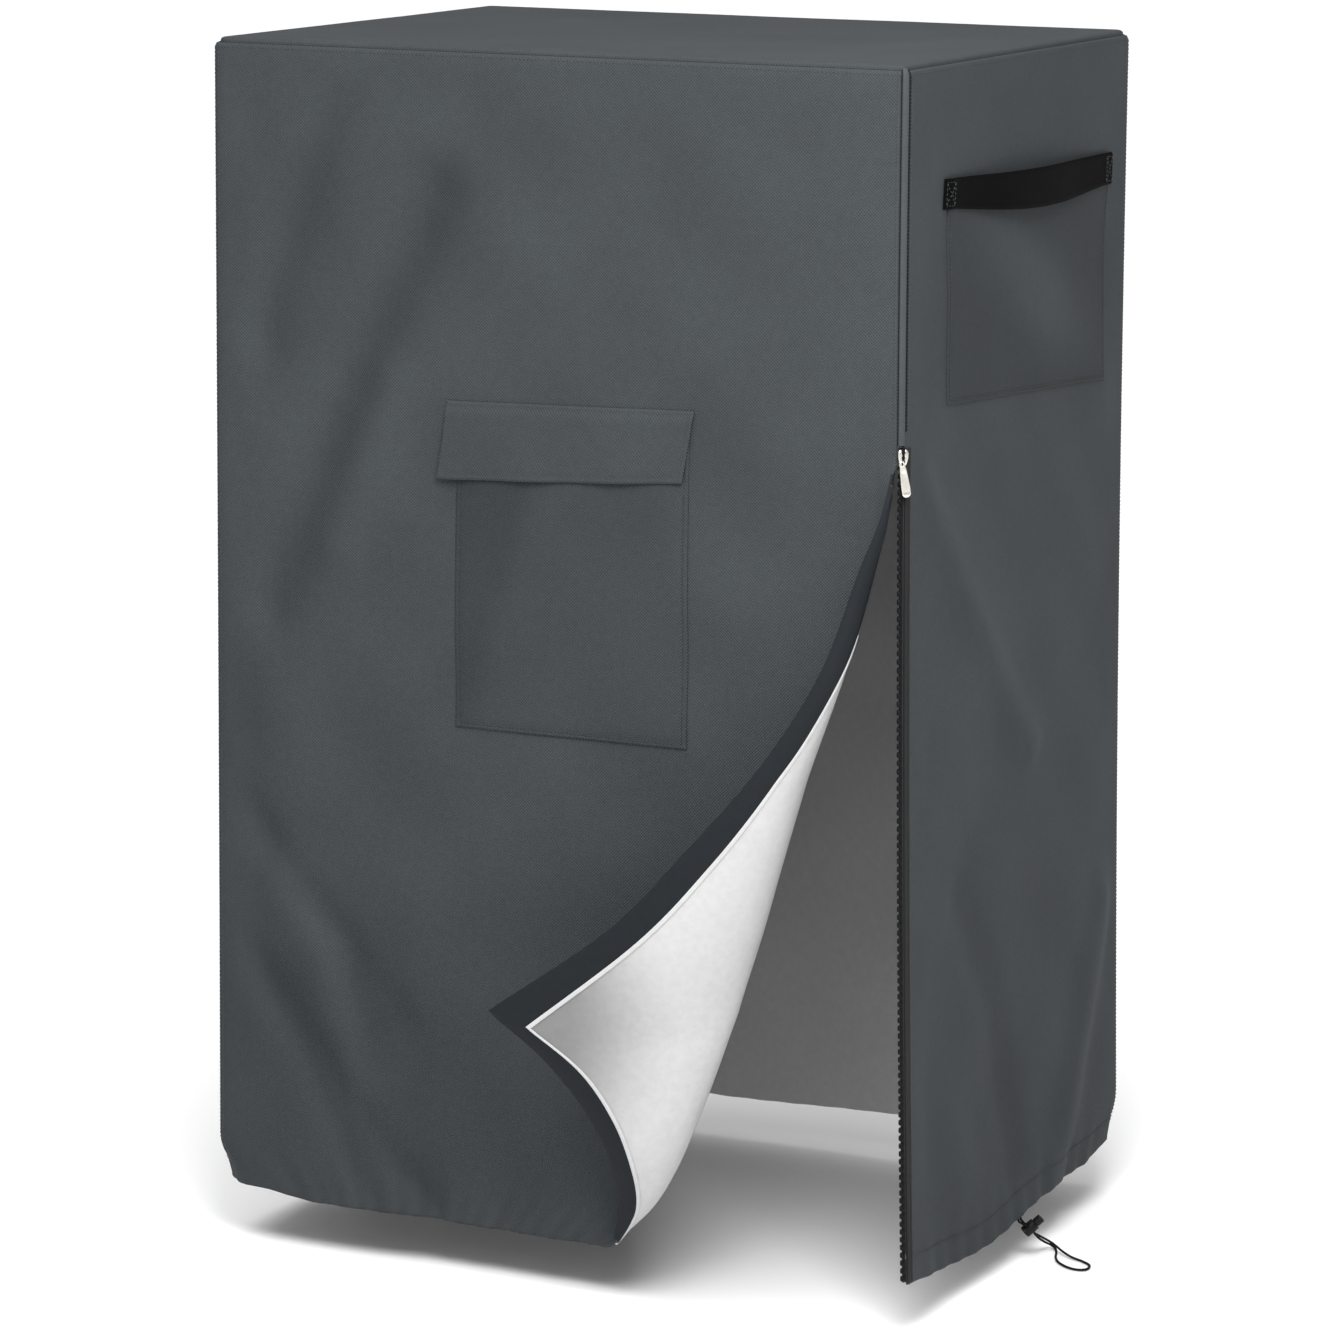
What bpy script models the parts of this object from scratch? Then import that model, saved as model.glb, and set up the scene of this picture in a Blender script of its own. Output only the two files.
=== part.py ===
"""Evaporative cooler cover.

A fitted cloth cover, hanging as it does over a box-shaped cooler: a top, four walls with a drawn hem, a zip
up the front right corner whose lower half is open, and the front wall's freed corner folded out.

The origin lies under the middle of the top, X runs along the front, Y to the back and Z up. All the cloth
follows one outer skin: "along" runs left to right over a wall seen from outside, and "drop" runs down from
the rim. Each piece is a thin solid between two layers of that skin, set in or out along its normal.
"""

import math

import bmesh
import bpy
import numpy as np

# Main sizes, in metres
WIDTH = 0.612
DEPTH = 0.495
HEIGHT = 0.967
RIM = 0.005
CLOTH = 0.002
GAP = 0.0003

# Corners and edges
EDGE_CURL = 0.010
CORNER = 0.012
CORNER_DRAWN = 0.040
ZIP_CORNER = 0.008
DRAWN_FROM = 0.920
DRAWN_LIFT = 0.006
DRAWN_WIDTH = 0.060
SEAM_TURN = math.pi / 4
RING_TURN = 1.2
RING_SHRINK = (0.86, 0.66, 0.44, 0.22)
RING_STEPS = 8
TOP_SAG = 0.003
SHARP_EDGE = math.radians(40)

# How far the hem stands out past the rim on each side, inwards where it is negative
FLARE = {"left": 0.004, "right": 0.014, "front": -0.004, "back": -0.003}

# Zip
WELT_WIDTH = 0.006
WELT_PROUD = 0.001
WELT_BACK = 0.0015
SLIDER_DROP = 0.301
SLIDER_HALF = 0.008
SLIDER_OUTLINE = ((-0.0042, -0.0070), (0.0042, -0.0070), (0.0046, -0.0030), (0.0030, 0.0060),
                  (0.0018, 0.0080), (-0.0018, 0.0080), (-0.0030, 0.0060), (-0.0046, -0.0030))
SLIDER = 0.0030
PULL_DROP = 0.0036
PULL_ASIDE = 0.0022
PULL_OUTLINE = ((-0.0023, 0.0000), (0.0023, 0.0000), (0.0030, 0.0100), (0.0035, 0.0200), (0.0034, 0.0262),
                (0.0018, 0.0285), (-0.0018, 0.0285), (-0.0034, 0.0262), (-0.0035, 0.0200),
                (-0.0030, 0.0100))
PULL = 0.0014
PULL_TILT = math.radians(10)
TAPE = 0.001
TAPE_TOP = 0.318
TAPE_BOTTOM = HEIGHT - 0.002
TAPE_UNDER = 0.008
TAPE_TURNS = (math.radians(66), math.radians(49))
TEETH_TURN = (math.radians(42), math.radians(70))
TEETH_PROUD = 0.0012

# Folded-out corner
FOOT = 0.283
FOLD_DIRECTION = np.array([0.939, 0.0, -0.343])
FOLD_REACH = 0.667
FOLD_PULL = 0.45
FOLD_START = 0.020
TIP_DROP = 0.744
FACING = 0.001
FACING_TOP = 0.320
FACING_BOTTOM = 0.945
BARE_STEPS = 6
# Where the wall left of the fold is drawn in, and over which drops this reaches further left
KEPT_ALONG = (0.130, -0.240)
KEPT_DROPS = (0.560, 0.800)

# Pockets and strap
POCKET_CLOTH = 0.0015
POCKET_LEFT = -0.081
POCKET_RIGHT = 0.124
POCKET_TOP = 0.300
POCKET_BOTTOM = 0.549
POCKET_FULL = 0.003
POCKET_RIDGE = 0.0030
POCKET_RIDGE_LINE = (0.52, 0.34)
POCKET_RIDGE_WIDTH = 0.15
FLAP_LEFT = -0.093
FLAP_TOP = 0.280
FLAP_BOTTOM = 0.341
FLAP_SLANT = 0.0045
FLAP_TILT = (0.0025, 0.0055)
FLAP_LIFT = 0.0022
FLAP_WAVES = 5.5
FLAP_SWING = (0.75, 0.5)
SIDE_POCKET_FRONT = -0.161
SIDE_POCKET_BACK = 0.190
SIDE_POCKET_TOP = 0.1085
SIDE_POCKET_BOTTOM = 0.2806
SIDE_FOLD = 0.0040
SIDE_FOLD_WIDTH = 0.22
SIDE_FOLD_START = 0.15
SIDE_FOLD_SLANT = 0.75
SIDE_TILT = 0.0106
SIDE_TILT_FULL = 0.26
SIDE_TILT_ENDS = (0.32, 0.62)
STRAP_FRONT = -0.172
STRAP_BACK = 0.193
STRAP_TOP = 0.0957
STRAP_BOTTOM = 0.1212
STRAP = 0.002
STRAP_BOW = 0.010
STRAP_BOW_POWER = 1.5
STRAP_SEWN = 0.05
STRAP_SEAT = (0.004, 0.002)
STRAP_SAG = (0.0010, 0.0075)
STRAP_STEPS = (0.085, 0.14, 0.20, 0.27, 0.35, 0.43, 0.50, 0.58, 0.66, 0.74, 0.81, 0.87, 0.93)

# Drawcord loop and its lock
CORD = 0.002
CORD_STEPS = 74
CORD_FINE = 24
LOCK_CENTRE = np.array([0.3250, 0.0147, -0.9810])
LOCK_AXIS = np.array([0.657, 0.328, 0.679])
LOCK_CHANNEL = np.array([0.284, 0.725, -0.627])
LOCK_RADIUS = 0.0052
LOCK_BELOW = 0.0055
LOCK_ABOVE = 0.0065
LOCK_EDGE = 0.001
LOCK_SLOT = (0.0056, 0.0029)
LOCK_SLOT_LENGTH = 0.016
PLUNGER_RADIUS = 0.0038
PLUNGER = 0.0072
LOCK_SIDES = 20
PLUNGER_SIDES = 16

ZIP_EDGE_COLUMNS = ("drop", "foot", "edge_x", "edge_drop", "out", "bare")
# The fold from the slider down to the tip. Each row crosses the fold at a drop: where it leaves the wall,
# where its free edge ends and how far that stands out, and the share of the row left bare by the facing.
ZIP_EDGE_ROWS = (
    (0.301, 0.2830, 0.3009, 0.3010, 0.000, 0.150),
    (0.341, 0.2815, 0.2955, 0.3440, 0.010, 0.150),
    (0.393, 0.2690, 0.2805, 0.3910, 0.020, 0.350),
    (0.456, 0.2405, 0.2604, 0.4610, 0.036, 0.700),
    (0.534, 0.2126, 0.2234, 0.5313, 0.052, 0.810),
    (0.629, 0.1860, 0.1562, 0.6164, 0.068, 0.860),
    (0.690, 0.1690, 0.0928, 0.6851, 0.078, 0.895),
    (0.744, 0.1554, -0.0054, 0.7575, 0.086, 0.905),
)
# The same from the tip along the hem to where it is folded
HEM_EDGE_ROWS = (
    (0.744, 0.1554, -0.0054, 0.7575, 0.086, 0.905),
    (0.788, 0.1392, 0.0356, 0.7922, 0.075, 0.870),
    (0.838, 0.1219, 0.0684, 0.8379, 0.060, 0.855),
    (0.885, 0.1048, 0.0837, 0.8832, 0.043, 0.830),
    (0.925, 0.0850, 0.0826, 0.9211, 0.026, 0.740),
    (0.967, 0.0488, 0.0704, 0.9542, 0.010, 0.600),
)

# Soft folds of each wall: a ridge or trough from one place to another, its half width and its height
FOLD_COLUMNS = ("along_0", "drop_0", "along_1", "drop_1", "width", "height")
FOLDS = {
    "front": (
        (-0.195, 0.040, -0.262, 0.238, 0.026, -0.0049),
        (-0.104, 0.116, -0.177, 0.269, 0.028, -0.0070),
        (-0.196, 0.312, -0.255, 0.461, 0.028, -0.0070),
        (-0.141, 0.271, -0.188, 0.406, 0.024, 0.0042),
        (-0.106, 0.673, -0.023, 0.581, 0.050, 0.0042),
        (-0.240, 0.560, -0.235, 0.600, 0.040, 0.0042),
        (-0.280, 0.632, -0.134, 0.803, 0.018, -0.0049),
        (-0.240, 0.690, -0.150, 0.860, 0.024, 0.0049),
        (-0.277, 0.760, -0.116, 0.955, 0.020, -0.0063),
        (-0.120, 0.830, -0.050, 0.930, 0.045, -0.0063),
    ),
    "right": (
        (-0.213, 0.331, -0.103, 0.442, 0.020, 0.0056),
        (-0.079, 0.466, 0.026, 0.572, 0.020, 0.0056),
        (-0.124, 0.677, -0.067, 0.756, 0.028, -0.0055),
        (-0.045, 0.797, 0.000, 0.917, 0.028, -0.0060),
        (0.202, 0.744, 0.169, 0.806, 0.024, 0.0063),
        (0.150, 0.841, 0.094, 0.949, 0.024, 0.0070),
        (-0.188, 0.817, -0.166, 0.937, 0.035, -0.0030),
    ),
    "back": (
        (-0.200, 0.080, -0.130, 0.420, 0.035, -0.0045),
        (0.060, 0.300, -0.020, 0.900, 0.030, 0.0045),
        (0.210, 0.150, 0.190, 0.640, 0.035, -0.0045),
        (-0.180, 0.560, -0.100, 0.930, 0.030, -0.0050),
        (0.150, 0.700, 0.110, 0.950, 0.028, 0.0040),
    ),
    "left": (
        (0.170, 0.060, 0.120, 0.420, 0.032, -0.0045),
        (0.020, 0.250, 0.050, 0.820, 0.030, 0.0045),
        (-0.120, 0.180, -0.150, 0.620, 0.032, -0.0045),
        (0.140, 0.640, 0.080, 0.940, 0.028, -0.0050),
        (-0.060, 0.720, -0.090, 0.950, 0.028, 0.0040),
    ),
}
# How far from a wall's seams and from the rim its folds fade out
FOLD_SIDES = (0.012, 0.045)
FOLD_RIM = (0.010, 0.060)
# Where each hem hangs lower: its middle, half width and depth
HEM_DIPS = {"front": (0.0, 0.15, 0.002), "right": (-0.080, 0.11, 0.013), "back": (0.05, 0.14, 0.006),
            "left": (0.02, 0.12, 0.005)}
DIP_FROM = 0.6
DIP_ENDS = 0.05

# Rows of the front wall, close together over the fold, and the lines that its pocket and flap share
FRONT_DROPS = (0.006, 0.010, 0.045, 0.095, 0.145, 0.195, 0.240, 0.280, 0.290, 0.300, 0.320, 0.341, 0.372,
               0.400, 0.430, 0.460, 0.497, 0.534, 0.549, 0.590, 0.629, 0.660, 0.690, 0.717, 0.744, 0.766,
               0.788, 0.813, 0.838, 0.862, 0.885, 0.905, 0.925, 0.945, 0.967)
FRONT_ALONG = (-0.250, -0.200, -0.150, -0.093, -0.081, -0.030, 0.022, 0.073, 0.124, 0.163, 0.203, 0.243, FOOT)
RIGHT_DROPS = (0.006, 0.010, 0.050, 0.0957, 0.1085, 0.1212, 0.161, 0.201, 0.241, 0.2806, 0.330, 0.380, 0.430,
               0.480, 0.530, 0.590, 0.650, 0.710, 0.760, 0.810, 0.860, 0.905, 0.925, 0.945, 0.967)
RIGHT_ALONG = (-0.215, -0.172, -0.161, -0.110, -0.060, -0.010, 0.040, 0.090, 0.140, 0.190, 0.193, 0.215)
PLAIN_DROPS = (0.006, 0.010, 0.080, 0.160, 0.240, 0.320, 0.400, 0.480, 0.560, 0.640, 0.720, 0.800, 0.860,
               0.905, 0.925, 0.945, 0.967)
PLAIN_STEPS = 11

# Sides of the box: outward normal, direction of "along", distance from the middle, half length, and
# whether each end is the zip's corner
SIDES = {
    "front": ((0, -1, 0), (1, 0, 0), DEPTH / 2, WIDTH / 2, False, True),
    "right": ((1, 0, 0), (0, 1, 0), WIDTH / 2, DEPTH / 2, True, False),
    "back": ((0, 1, 0), (-1, 0, 0), DEPTH / 2, WIDTH / 2, False, False),
    "left": ((-1, 0, 0), (0, -1, 0), WIDTH / 2, DEPTH / 2, False, False),
}

# Route of the drawcord's loop, from the hem through the lock, round on the ground and back
CORD_ROUTE = (
    (0.3190, 0.0078, -0.9692), (0.3191, 0.0080, -0.9712), (0.3203, 0.0091, -0.9738),
    (0.3223, 0.0108, -0.9764), (0.3241, 0.0155, -0.9805), (0.3259, 0.0202, -0.9846),
    (0.3268, 0.0300, -0.9925), (0.3282, 0.0420, -0.9995), (0.3318, 0.0485, -1.0035),
    (0.3375, 0.0445, -1.0050), (0.3425, 0.0335, -1.0050), (0.3465, 0.0215, -1.0050),
    (0.3540, 0.0085, -1.0050), (0.3650, -0.0010, -1.0050), (0.3750, -0.0045, -1.0050),
    (0.3820, 0.0000, -1.0050), (0.3805, 0.0115, -1.0050), (0.3710, 0.0200, -1.0050),
    (0.3600, 0.0250, -1.0045), (0.3500, 0.0315, -1.0032), (0.3420, 0.0385, -1.0020),
    (0.3355, 0.0395, -0.9985), (0.3305, 0.0300, -0.9920), (0.3277, 0.0186, -0.9856),
    (0.3259, 0.0139, -0.9815), (0.3241, 0.0092, -0.9774), (0.3215, 0.0044, -0.9745),
    (0.3194, 0.0022, -0.9718), (0.3190, 0.0020, -0.9698),
)

# Colours as linear red, green and blue
DARK_CLOTH = (0.089, 0.098, 0.105)
POCKET_DARK = (0.075, 0.083, 0.090)
FACING_DARK = (0.034, 0.039, 0.044)
BLACK_WEBBING = (0.011, 0.011, 0.011)
BLACK_PLASTIC = (0.012, 0.012, 0.013)
PALE_NICKEL = (0.62, 0.59, 0.54)


def ease(t):
    """Smooth step from 0 to 1."""
    t = np.clip(t, 0.0, 1.0)
    return t * t * (3.0 - 2.0 * t)


def through(rows, columns, name, at):
    """A smooth curve through one column of a table, read at drops."""
    x = np.array([row[0] for row in rows])
    y = np.array([row[columns.index(name)] for row in rows])
    slope = np.gradient(y, x)
    at = np.asarray(at, float)
    i = np.clip(np.searchsorted(x, at) - 1, 0, len(x) - 2)
    span = x[i + 1] - x[i]
    t = (at - x[i]) / span
    start = (2 * t ** 3 - 3 * t ** 2 + 1) * y[i] + (t ** 3 - 2 * t ** 2 + t) * span * slope[i]
    return start + (3 * t ** 2 - 2 * t ** 3) * y[i + 1] + (t ** 3 - t ** 2) * span * slope[i + 1]


def fold_value(name, drop):
    """One column of the fold's tables, with a sharp turn at the tip."""
    above = through(ZIP_EDGE_ROWS, ZIP_EDGE_COLUMNS, name, np.minimum(drop, TIP_DROP))
    below = through(HEM_EDGE_ROWS, ZIP_EDGE_COLUMNS, name, np.maximum(drop, TIP_DROP))
    return np.where(drop <= TIP_DROP, above, below)


def corner_radius(at_zip, drop):
    """Plan radius of a corner, which the drawcord widens near the hem."""
    drawn = CORNER + (CORNER_DRAWN - CORNER) * ease((drop - DRAWN_FROM) / (HEIGHT - DRAWN_FROM))
    return np.where(at_zip, ZIP_CORNER, drawn)


def folds(side, along, drop):
    """Height of a wall's soft folds, fading out towards its seams."""
    half = SIDES[side][3]
    height = np.zeros(np.broadcast(along, drop).shape)
    for row in FOLDS[side]:
        fold = dict(zip(FOLD_COLUMNS, row))
        run_along = fold["along_1"] - fold["along_0"]
        run_drop = fold["drop_1"] - fold["drop_0"]
        length = run_along ** 2 + run_drop ** 2
        t = ((along - fold["along_0"]) * run_along + (drop - fold["drop_0"]) * run_drop) / length
        t = np.clip(t, 0.0, 1.0)
        far = np.hypot(along - fold["along_0"] - t * run_along, drop - fold["drop_0"] - t * run_drop)
        height = height + fold["height"] * np.exp(-(far / fold["width"]) ** 2)
    fade = ease((half - np.abs(along) - FOLD_SIDES[0]) / FOLD_SIDES[1])
    return height * fade * ease((drop - FOLD_RIM[0]) / FOLD_RIM[1])


def flare(points):
    """Stand the lower part of the cover out past its rim."""
    depth = np.clip((RIM - points[..., 2]) / HEIGHT, 0.0, 1.1) ** 2
    x = points[..., 0]
    y = points[..., 1]
    side_x = np.where(x > 0, FLARE["right"], FLARE["left"]) * ease(np.abs(x) / (WIDTH / 2)) * np.sign(x)
    side_y = np.where(y > 0, FLARE["back"], FLARE["front"]) * ease(np.abs(y) / (DEPTH / 2)) * np.sign(y)
    return np.stack([x + side_x * depth, y + side_y * depth, points[..., 2]], -1)


def wall(side, along, drop):
    """Outer skin of one wall, with its rounded corners, its curl into the top, its folds and its hem."""
    normal, tangent, distance, half, zip_start, zip_end = SIDES[side]
    normal = np.array(normal, float)
    tangent = np.array(tangent, float)
    along, drop = np.broadcast_arrays(np.asarray(along, float), np.asarray(drop, float))
    at_zip = np.where(along > 0, zip_end, zip_start)
    nominal = corner_radius(at_zip, 0.0 * drop)
    radius = corner_radius(at_zip, drop)
    flat = half - nominal
    turn = np.sign(along) * np.maximum(np.abs(along) - flat, 0.0) / nominal
    centre = np.clip(along, -flat, flat) * (half - radius) / flat
    curl = np.maximum((EDGE_CURL - drop) / EDGE_CURL, 0.0)
    outward = np.sin(turn)[..., None] * tangent + np.cos(turn)[..., None] * normal
    reach = radius - EDGE_CURL * (1 - np.cos(curl)) + folds(side, along, drop)
    points = centre[..., None] * tangent + (distance - radius)[..., None] * normal
    points = points + reach[..., None] * outward
    middle, spread, dip = HEM_DIPS[side]
    low = ease((drop - DIP_FROM) / (HEIGHT - DIP_FROM))
    dip = dip * np.exp(-((along - middle) / spread) ** 2) * ease((half - np.abs(along)) / DIP_ENDS)
    near = ease((np.abs(along) - flat + DRAWN_WIDTH) / DRAWN_WIDTH) * np.where(at_zip, 0.0, 1.0)
    lift = DRAWN_LIFT * near * ease((drop - DRAWN_FROM) / (HEIGHT - DRAWN_FROM))
    points[..., 2] = np.where(curl > 0, RIM - EDGE_CURL * (1 - np.sin(curl)), RIM - drop) - dip * low + lift
    return flare(points)


def seam_along(side, end):
    """Where a wall's cloth ends along its skin: halfway round a corner, or beside the zip's welt."""
    half = SIDES[side][3]
    if SIDES[side][5 if end > 0 else 4]:
        welt_turn = WELT_WIDTH / ZIP_CORNER / 2
        return end * (half - ZIP_CORNER + ZIP_CORNER * (SEAM_TURN - welt_turn) - GAP)
    return end * (half - CORNER + CORNER * SEAM_TURN - GAP / 2)


FRONT_END = seam_along("front", 1)


def front_cloth(u, drop):
    """Outer skin of the front wall's cloth.

    Up to FOOT, u is "along" at the rim. Past it, u crosses the cloth that is held by the zip above the
    slider, and below it the folded-out corner. There each row is a cubic curve: it leaves the wall at the
    fold's foot, runs on in the fold's direction, rolls round and comes back to the free edge.
    """
    u, drop = np.broadcast_arrays(np.asarray(u, float), np.asarray(drop, float))
    held = wall("front", u, drop)
    foot = np.where(drop > SLIDER_DROP, fold_value("foot", np.maximum(drop, SLIDER_DROP)), FOOT)
    reach = ease((drop - KEPT_DROPS[0]) / (KEPT_DROPS[1] - KEPT_DROPS[0]))
    keep = KEPT_ALONG[0] + (KEPT_ALONG[1] - KEPT_ALONG[0]) * reach
    squeezed = np.where(u < keep, u, keep + (u - keep) * (foot - keep) / (FOOT - keep))
    base = wall("front", np.minimum(squeezed, foot), drop)
    low = np.maximum(drop, SLIDER_DROP)
    edge = np.stack([fold_value("edge_x", low), -DEPTH / 2 - fold_value("out", low),
                     RIM - fold_value("edge_drop", low)], -1)
    out = fold_value("out", low)
    start = wall("front", foot, drop)
    back = np.maximum((start - edge) @ FOLD_DIRECTION, 0.0)
    handle = FOLD_REACH * out
    first = start + handle[..., None] * FOLD_DIRECTION
    second = edge + (handle + FOLD_PULL * back)[..., None] * FOLD_DIRECTION
    t = ((u - FOOT) / (FRONT_END - FOOT))[..., None]
    rolled = (1 - t) ** 3 * start + 3 * t * (1 - t) ** 2 * first
    rolled = rolled + 3 * t ** 2 * (1 - t) * second + t ** 3 * edge
    free = ease((drop - SLIDER_DROP) / FOLD_START)[..., None]
    folded = held * (1 - free) + rolled * free
    return np.where((u > FOOT)[..., None], folded, base)


def side_drop(along, drop):
    """The right wall's rows run lower to the back where the strap and pocket are sewn on."""
    tilt = ease(drop / SIDE_TILT_FULL)
    tilt = tilt * (1 - ease((drop - SIDE_TILT_ENDS[0]) / (SIDE_TILT_ENDS[1] - SIDE_TILT_ENDS[0])))
    return drop + SIDE_TILT * np.clip(along / SIDE_POCKET_BACK, -1.0, 1.0) * tilt


def right_cloth(u, drop):
    """Outer skin of the right wall on its tilted rows."""
    return wall("right", u, side_drop(np.asarray(u, float), np.asarray(drop, float)))


def normals(surface, u, v):
    """Outward unit normals of a skin, from small steps along it."""
    step = 0.0001
    du = surface(u + step, v) - surface(u - step, v)
    dv = surface(u, v + step) - surface(u, v - step)
    normal = np.cross(du, -dv)
    return normal / np.linalg.norm(normal, axis=-1, keepdims=True)


def make_material(name, colour, roughness, metallic=0.0):
    """A material of one colour, with its roughness and how metallic it is."""
    material = bpy.data.materials.new(name)
    material.use_nodes = True
    shader = material.node_tree.nodes["Principled BSDF"]
    shader.inputs["Base Color"].default_value = (*colour, 1.0)
    shader.inputs["Roughness"].default_value = roughness
    shader.inputs["Metallic"].default_value = metallic
    return material


def make_object(name, vertices, faces, material, smooth=True):
    """A closed body from vertices and faces, with its faces turned out."""
    mesh = bpy.data.meshes.new(name)
    mesh.from_pydata([tuple(v) for v in vertices], [], faces)
    body = bmesh.new()
    body.from_mesh(mesh)
    bmesh.ops.recalc_face_normals(body, faces=body.faces)
    body.to_mesh(mesh)
    body.free()
    mesh.materials.append(material)
    if smooth:
        mesh.shade_smooth()
        mesh.set_sharp_from_angle(angle=SHARP_EDGE)
    item = bpy.data.objects.new(name, mesh)
    bpy.context.scene.collection.objects.link(item)
    return item


def make_sheet(name, outer, inner, material):
    """A thin solid between two grids of the same shape, joined round their rim."""
    rows, columns = outer.shape[:2]
    size = rows * columns
    faces = []
    for r in range(rows - 1):
        for c in range(columns - 1):
            a = r * columns + c
            b = a + 1
            d = a + columns
            e = d + 1
            faces += [(a, b, e), (a, e, d)]
            faces += [(size + a, size + e, size + b), (size + a, size + d, size + e)]
    rim = [(0, c) for c in range(columns)]
    rim += [(r, columns - 1) for r in range(1, rows)]
    rim += [(rows - 1, c) for c in range(columns - 2, -1, -1)]
    rim += [(r, 0) for r in range(rows - 2, 0, -1)]
    loop = [r * columns + c for r, c in rim]
    for i, j in zip(loop, loop[1:] + loop[:1]):
        faces += [(i, j, size + j), (i, size + j, size + i)]
    vertices = np.concatenate([outer.reshape(-1, 3), inner.reshape(-1, 3)])
    return make_object(name, vertices, faces, material)


def make_layer(name, surface, u, drops, low, high, material):
    """A sheet between two heights over a skin. Heights may be numbers or grids."""
    u, v = np.broadcast_arrays(u, drops)
    points = surface(u, v)
    normal = normals(surface, u, v)
    shape = np.ones(u.shape)
    outer = points + (high * shape)[..., None] * normal
    inner = points + (low * shape)[..., None] * normal
    return make_sheet(name, outer, inner, material)


def wall_columns(side, middle):
    """Columns of a wall: each seam, halfway round each corner, each corner's start, and those between."""
    half = SIDES[side][3]
    start_radius = ZIP_CORNER if SIDES[side][4] else CORNER
    end_radius = ZIP_CORNER if SIDES[side][5] else CORNER
    start = seam_along(side, -1)
    end = seam_along(side, 1)
    first = -(half - start_radius)
    last = half - end_radius
    return np.array([start, (start + first) / 2, first, *middle, last, (last + end) / 2, end])


def top_seam_drop():
    """Drop of the seam that joins the top to the walls."""
    return EDGE_CURL * (1 - SEAM_TURN) + GAP / 2


def front_grid():
    """Columns and rows of the front wall. Over the fold, BARE_STEPS are bare and two lie under the facing."""
    drops = np.array([top_seam_drop(), *FRONT_DROPS])[:, None]
    start = wall_columns("front", FRONT_ALONG)[:3]
    bare = fold_value("bare", np.maximum(drops, SLIDER_DROP))
    steps = [bare * k / BARE_STEPS for k in range(1, BARE_STEPS + 1)] + [(1 + bare) / 2, 1 + 0 * bare]
    steps = np.concatenate(steps, 1)
    flap = FOOT + (FRONT_END - FOOT) * steps
    body = np.broadcast_to(np.array([*start, *FRONT_ALONG]), (len(drops), len(start) + len(FRONT_ALONG)))
    return np.concatenate([body, flap], 1), drops


def part_of(values, low, high):
    """Those of a row of values that lie from low to high."""
    values = np.asarray(values)
    return values[(values > low - 1e-6) & (values < high + 1e-6)]


def build_front(cloth):
    """The front wall and its folded-out corner, one cloth."""
    u, drops = front_grid()
    make_layer("front_panel", front_cloth, u, drops, -CLOTH, 0.0, cloth)


def build_right(cloth):
    """The right wall, cut back at the zip's corner."""
    u = wall_columns("right", RIGHT_ALONG)[None, :]
    u = np.concatenate([u[:, :1], u[:, 2:]], 1)
    drops = np.array([top_seam_drop(), *RIGHT_DROPS])[:, None]
    make_layer("right_panel", right_cloth, u, drops, -CLOTH, 0.0, cloth)


def build_plain_wall(name, side, cloth):
    """The back or the left wall."""
    half = SIDES[side][3]
    middle = np.linspace(-(half - CORNER), half - CORNER, PLAIN_STEPS)[1:-1]
    u = wall_columns(side, middle)[None, :]
    drops = np.array([top_seam_drop(), *PLAIN_DROPS])[:, None]

    def skin(along, drop):
        return wall(side, along, drop)

    make_layer(name, skin, u, drops, -CLOTH, 0.0, cloth)


def build_top(cloth):
    """The top: two rings round its curled rim, then rings shrinking to its middle, which sags a little."""
    edge_drops = [EDGE_CURL * (1 - turn) for turn in (SEAM_TURN, RING_TURN, math.pi / 2)]
    edge_drops[0] -= GAP / 2
    rings = []
    for drop in edge_drops:
        ring = []
        for side in ("front", "right", "back", "left"):
            half = SIDES[side][3]
            radii = [ZIP_CORNER if at_zip else CORNER for at_zip in SIDES[side][4:6]]
            start = -(half - radii[0]) - radii[0] * SEAM_TURN
            last = half - radii[1]
            columns = [start, (start - half + radii[0]) / 2, *np.linspace(-half + radii[0], last, RING_STEPS)]
            columns += [last + radii[1] * SEAM_TURN / 2]
            ring.append(wall(side, np.array(columns), np.full(len(columns), drop)))
        rings.append(np.concatenate(ring))
    rim = rings[-1]
    rings += [rim * np.array([k, k, 1.0]) for k in RING_SHRINK]
    rings = np.array(rings)
    count = rings.shape[1]
    ahead = np.roll(rings, -1, 1) - np.roll(rings, 1, 1)
    tilt = np.array([SEAM_TURN, RING_TURN, math.pi / 2])
    outward = np.cross(ahead, (0.0, 0.0, 1.0))
    outward = outward / np.linalg.norm(outward, axis=-1, keepdims=True)
    up = np.zeros_like(rings)
    up[..., 2] = 1.0
    for k, angle in enumerate(tilt):
        up[k] = math.cos(angle) * outward[k] + math.sin(angle) * up[k]
    from_sides = (1 - (rings[..., 0] * 2 / WIDTH) ** 2).clip(0)
    rings[..., 2] -= TOP_SAG * from_sides * (1 - (rings[..., 1] * 2 / DEPTH) ** 2).clip(0)
    middle = np.array([[0.0, 0.0, RIM - TOP_SAG]])
    outer = np.concatenate([rings.reshape(-1, 3), middle])
    inner = np.concatenate([(rings - CLOTH * up).reshape(-1, 3), middle - (0.0, 0.0, CLOTH)])
    size = len(outer)
    faces = []
    for r in range(len(rings) - 1):
        for c in range(count):
            a = r * count + c
            b = r * count + (c + 1) % count
            d = a + count
            e = b + count
            faces += [(a, b, e), (a, e, d), (size + a, size + e, size + b), (size + a, size + d, size + e)]
    last = (len(rings) - 1) * count
    for c in range(count):
        a = last + c
        b = last + (c + 1) % count
        faces += [(a, b, size - 1), (size + a, 2 * size - 1, size + b)]
        e = (c + 1) % count
        faces += [(c, size + c, size + e), (c, size + e, e)]
    make_object("top_panel", np.concatenate([outer, inner]), faces, cloth)


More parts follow.
